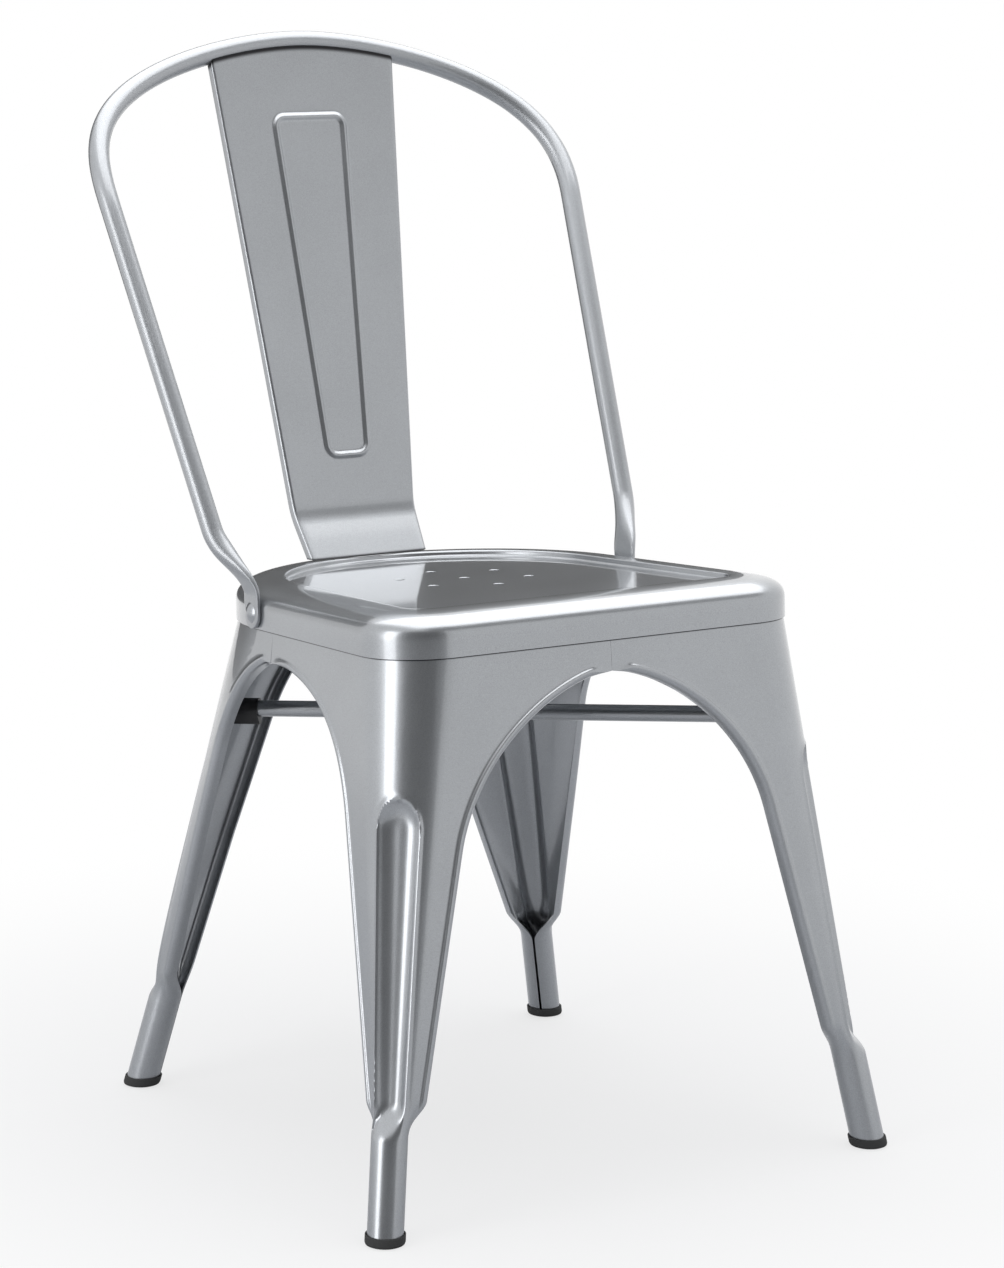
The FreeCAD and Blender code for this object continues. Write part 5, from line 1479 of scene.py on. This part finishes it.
def add_lamp(name, place, width, height, power):
    data = bpy.data.lights.new(name, "AREA")
    data.shape = "RECTANGLE"
    data.size = width
    data.size_y = height
    data.energy = power
    lamp = link(name, data)
    lamp.matrix_world = facing(place, LAMP_TARGET)
    lamp.visible_glossy = False


def add_card(name, place, target, width, height, strength):
    """Card that shows in the metal's reflections only."""
    bm = bmesh.new()
    matrix = facing(place, target)
    corners = [matrix @ Vector((x * width / 2, y * height / 2, 0)) for x, y in CARD_CORNERS]
    bm.faces.new([bm.verts.new(corner) for corner in corners])
    mesh = bpy.data.meshes.new(name)
    bm.to_mesh(mesh)
    bm.free()
    card = link(name, mesh)
    material, nodes = new_material(name)
    shader = nodes.add("ShaderNodeEmission", None, Color=WHITE, Strength=strength)
    nodes.add("ShaderNodeOutputMaterial", None, Surface=nodes.value(shader))
    mesh.materials.append(material)
    card.visible_camera = False
    card.visible_diffuse = False
    card.visible_shadow = False


def build_world():
    """Soft light from all round, behind a white background that the camera and the metal see."""
    world = bpy.data.worlds.new("studio")
    bpy.context.scene.world = world
    world.use_nodes = True
    nodes = Nodes(world.node_tree)
    path = nodes.add("ShaderNodeLightPath")
    seen = nodes.value(path, "Is Camera Ray")
    glossy = nodes.value(path, "Is Glossy Ray")
    through = nodes.value(path, "Is Transmission Ray")
    shown = nodes.math("MINIMUM", seen + glossy + through, 1.0)
    fill = bpy.context.scene.chair_stage.fill
    soft = nodes.add("ShaderNodeBackground", None, Color=SKY, Strength=fill)
    white = nodes.add("ShaderNodeBackground", None, Color=WHITE, Strength=1.0)
    blend = nodes.add("ShaderNodeMixShader", None, input_0=shown, input_1=nodes.value(soft),
                      input_2=nodes.value(white))
    nodes.add("ShaderNodeOutputWorld", None, Surface=nodes.value(blend))


def floor_paint():
    """Pale matt floor that keeps the chair's shadow and fades to white away from it."""
    material, nodes = new_material("studio_floor")
    place = object_place(nodes)
    away = nodes.value(nodes.add("ShaderNodeVectorMath", {"operation": "LENGTH"}, input_0=place), "Value")
    grain = noise(nodes, place, 30.0, 3.0)
    colour = bpy.context.scene.chair_stage.floor_colour
    matt = nodes.add("ShaderNodeBsdfPrincipled", None, Base_Color=rgba(colour),
                     Roughness=0.8 + (grain - 0.5) * 0.1)
    glow = nodes.add("ShaderNodeEmission", None, Color=WHITE, Strength=1.0)
    path = nodes.add("ShaderNodeLightPath")
    straight = nodes.value(path, "Is Camera Ray") + nodes.value(path, "Is Transmission Ray")
    seen = straight * (away.band(*SEEN_BAND) * SEEN_RISE + SEEN_NEAR)
    mirrored = nodes.value(path, "Is Glossy Ray") * away.band(*MIRRORED_BAND)
    share = nodes.math("MINIMUM", seen + mirrored, 1.0)
    blend = nodes.add("ShaderNodeMixShader", None, input_0=share, input_1=nodes.value(matt),
                      input_2=nodes.value(glow))
    nodes.add("ShaderNodeOutputMaterial", None, Surface=nodes.value(blend))
    return material


def build_floor():
    bm = bmesh.new()
    angles = [math.tau * i / FLOOR_SEGMENTS for i in range(FLOOR_SEGMENTS)]
    places = [[(radius * math.cos(angle), radius * math.sin(angle), -FLOOR_DROP) for angle in angles]
              for radius in FLOOR_RADII]
    rings = add_points(bm, places)
    bm.faces.new(rings[0])
    for first, second in zip(rings, rings[1:]):
        join_rings(bm, second, first)
    mesh = bpy.data.meshes.new("floor")
    bm.to_mesh(mesh)
    bm.free()
    mesh.materials.append(floor_paint())
    link("floor", mesh)


def build_stage():
    settings = bpy.context.scene.chair_stage
    data = bpy.data.cameras.new("camera")
    data.sensor_fit = "VERTICAL"
    data.sensor_height = SENSOR_MM
    data.lens = FOCAL_PIXELS / PICTURE_PIXELS * SENSOR_MM
    camera = link("camera", data)
    level = math.cos(CAMERA_PITCH)
    forward = Vector((math.sin(CAMERA_YAW) * level, math.cos(CAMERA_YAW) * level, math.sin(CAMERA_PITCH)))
    camera.matrix_world = Matrix.Translation(CAMERA_PLACE) @ look_along(forward, CAMERA_ROLL)
    bpy.context.scene.camera = camera
    bpy.context.scene.view_settings.view_transform = "Standard"
    build_world()
    build_floor()
    for name, place, width, height in LAMPS:
        add_lamp(name, place, width, height, getattr(settings, name))
    for name, place, target, width, height, strength in CARDS:
        add_card(name, place, target, width, height, strength)


# What a user can change

class ChairShape(bpy.types.PropertyGroup):
    edge_roll: FloatProperty(
        name="Edge roll", description="Radius of the roll along the legs' arches",
        default=0.005, min=0.002, max=0.008, unit="LENGTH")
    edge_flange: FloatProperty(
        name="Edge flange", description="Flat beyond the roll of the arches",
        default=0.004, min=0.001, max=0.008, unit="LENGTH")
    edge_lift: FloatProperty(
        name="Edge lift", description="Step that borders the roll of the arches",
        default=0.0015, min=0.0, max=0.002, unit="LENGTH")
    flute_depth: FloatProperty(
        name="Flute depth", description="Depth of the flute in a leg's corner",
        default=0.007, min=0.0, max=0.01, unit="LENGTH")
    flute_ridge: FloatProperty(
        name="Flute ridge", description="Ridge raised round the flute",
        default=0.0011, min=0.0, max=0.003, unit="LENGTH")
    flute_ridge_width: FloatProperty(
        name="Ridge width", description="Half the width of the flute's ridge",
        default=0.003, min=0.001, max=0.006, unit="LENGTH")
    bead_height: FloatProperty(
        name="Bead height", description="Height of the raised line on the back splat",
        default=0.0017, min=0.0, max=0.003, unit="LENGTH")
    bead_width: FloatProperty(
        name="Bead width", description="Width of the raised line on the back splat",
        default=0.0060, min=0.002, max=0.01, unit="LENGTH")


class ChairFinish(bpy.types.PropertyGroup):
    paint: FloatVectorProperty(
        name="Paint", description="Silver paint of the metal parts",
        default=(0.37, 0.385, 0.405), min=0.0, max=1.0, size=3, subtype="COLOR")
    paint_roughness: FloatProperty(
        name="Paint roughness", description="Roughness of the paint under its clear coat",
        default=0.32, min=0.05, max=1.0, subtype="FACTOR")
    coat: FloatProperty(
        name="Clear coat", description="Weight of the clear coat",
        default=1.0, min=0.0, max=1.0, subtype="FACTOR")
    # Colour of the painted shade in the crevices between sheets
    crevice: FloatVectorProperty(
        name="Crevice", description="Shade in the crevices between sheets",
        default=(0.03, 0.03, 0.032), min=0.0, max=1.0, size=3, subtype="COLOR")
    plastic: FloatVectorProperty(
        name="Plastic", description="Black plastic of the bumpers",
        default=(0.012, 0.012, 0.013), min=0.0, max=1.0, size=3, subtype="COLOR")
    rubber: FloatVectorProperty(
        name="Rubber", description="Black rubber of the foot caps",
        default=(0.006, 0.006, 0.006), min=0.0, max=1.0, size=3, subtype="COLOR")


class ChairStage(bpy.types.PropertyGroup):
    fill: FloatProperty(
        name="Fill", description="Soft light from all round",
        default=0.55, min=0.0, max=2.0)
    overhead: FloatProperty(
        name="Overhead", description="Power of the overhead lamp in watts",
        default=34.0, min=0.0, max=500.0)
    left_window: FloatProperty(
        name="Left", description="Power of the left lamp in watts",
        default=20.0, min=0.0, max=500.0)
    right_window: FloatProperty(
        name="Right", description="Power of the right lamp in watts",
        default=6.0, min=0.0, max=500.0)
    floor_colour: FloatVectorProperty(
        name="Floor", description="Pale studio floor",
        default=(0.66, 0.66, 0.67), min=0.0, max=1.0, size=3, subtype="COLOR")


class CHAIR_OT_seat(bpy.types.Operator):
    """Build the pressed seat pan with its drain holes"""
    bl_idname = "chair.make_seat"
    bl_label = "Seat"

    def execute(self, context):
        build_seat()
        return {"FINISHED"}


class CHAIR_OT_legs(bpy.types.Operator):
    """Build the four pressed legs"""
    bl_idname = "chair.make_legs"
    bl_label = "Legs"

    def execute(self, context):
        build_legs()
        return {"FINISHED"}


class CHAIR_OT_hoop(bpy.types.Operator):
    """Build the bent tube of the back with its flattened ends"""
    bl_idname = "chair.make_hoop"
    bl_label = "Back hoop"

    def execute(self, context):
        build_hoop()
        return {"FINISHED"}


class CHAIR_OT_splat(bpy.types.Operator):
    """Build the back splat with its raised outline"""
    bl_idname = "chair.make_splat"
    bl_label = "Back splat"

    def execute(self, context):
        build_splat()
        return {"FINISHED"}


class CHAIR_OT_brace(bpy.types.Operator):
    """Build the crossed brace tubes and their bumpers"""
    bl_idname = "chair.make_brace"
    bl_label = "Brace"

    def execute(self, context):
        build_brace()
        return {"FINISHED"}


class CHAIR_OT_caps(bpy.types.Operator):
    """Build the rubber foot caps"""
    bl_idname = "chair.make_caps"
    bl_label = "Foot caps"

    def execute(self, context):
        build_caps()
        return {"FINISHED"}


class CHAIR_OT_rivets(bpy.types.Operator):
    """Build the rivets and washers at the hoop's ends"""
    bl_idname = "chair.make_rivets"
    bl_label = "Rivets"

    def execute(self, context):
        build_rivets()
        return {"FINISHED"}


class CHAIR_OT_stage(bpy.types.Operator):
    """Build the camera, lamps, floor and background"""
    bl_idname = "chair.make_stage"
    bl_label = "Stage"

    def execute(self, context):
        build_stage()
        return {"FINISHED"}


class CHAIR_PT_panel(bpy.types.Panel):
    """Chair tools in the sidebar"""
    bl_idname = "CHAIR_PT_panel"
    bl_label = "Metal chair"
    bl_space_type = "VIEW_3D"
    bl_region_type = "UI"
    bl_category = "Chair"

    def draw(self, context):
        layout = self.layout
        for group in (context.scene.chair_shape, context.scene.chair_finish, context.scene.chair_stage):
            box = layout.box()
            for name in group.__annotations__:
                box.prop(group, name)
        for operator in OPERATORS:
            layout.operator(operator.bl_idname)


GROUPS = (("chair_shape", ChairShape), ("chair_finish", ChairFinish), ("chair_stage", ChairStage))
OPERATORS = (CHAIR_OT_stage, CHAIR_OT_seat, CHAIR_OT_legs, CHAIR_OT_hoop, CHAIR_OT_splat, CHAIR_OT_brace,
             CHAIR_OT_caps, CHAIR_OT_rivets)


def register():
    for name, group in GROUPS:
        bpy.utils.register_class(group)
        setattr(bpy.types.Scene, name, PointerProperty(type=group))
    for operator in OPERATORS:
        bpy.utils.register_class(operator)
    bpy.utils.register_class(CHAIR_PT_panel)


def unregister():
    bpy.utils.unregister_class(CHAIR_PT_panel)
    for operator in reversed(OPERATORS):
        bpy.utils.unregister_class(operator)
    for name, group in reversed(GROUPS):
        delattr(bpy.types.Scene, name)
        bpy.utils.unregister_class(group)


def main():
    register()
    bpy.ops.chair.make_stage()
    bpy.ops.chair.make_seat()
    bpy.ops.chair.make_legs()
    bpy.ops.chair.make_hoop()
    bpy.ops.chair.make_splat()
    bpy.ops.chair.make_brace()
    bpy.ops.chair.make_caps()
    bpy.ops.chair.make_rivets()


if __name__ == "__main__":
    main()
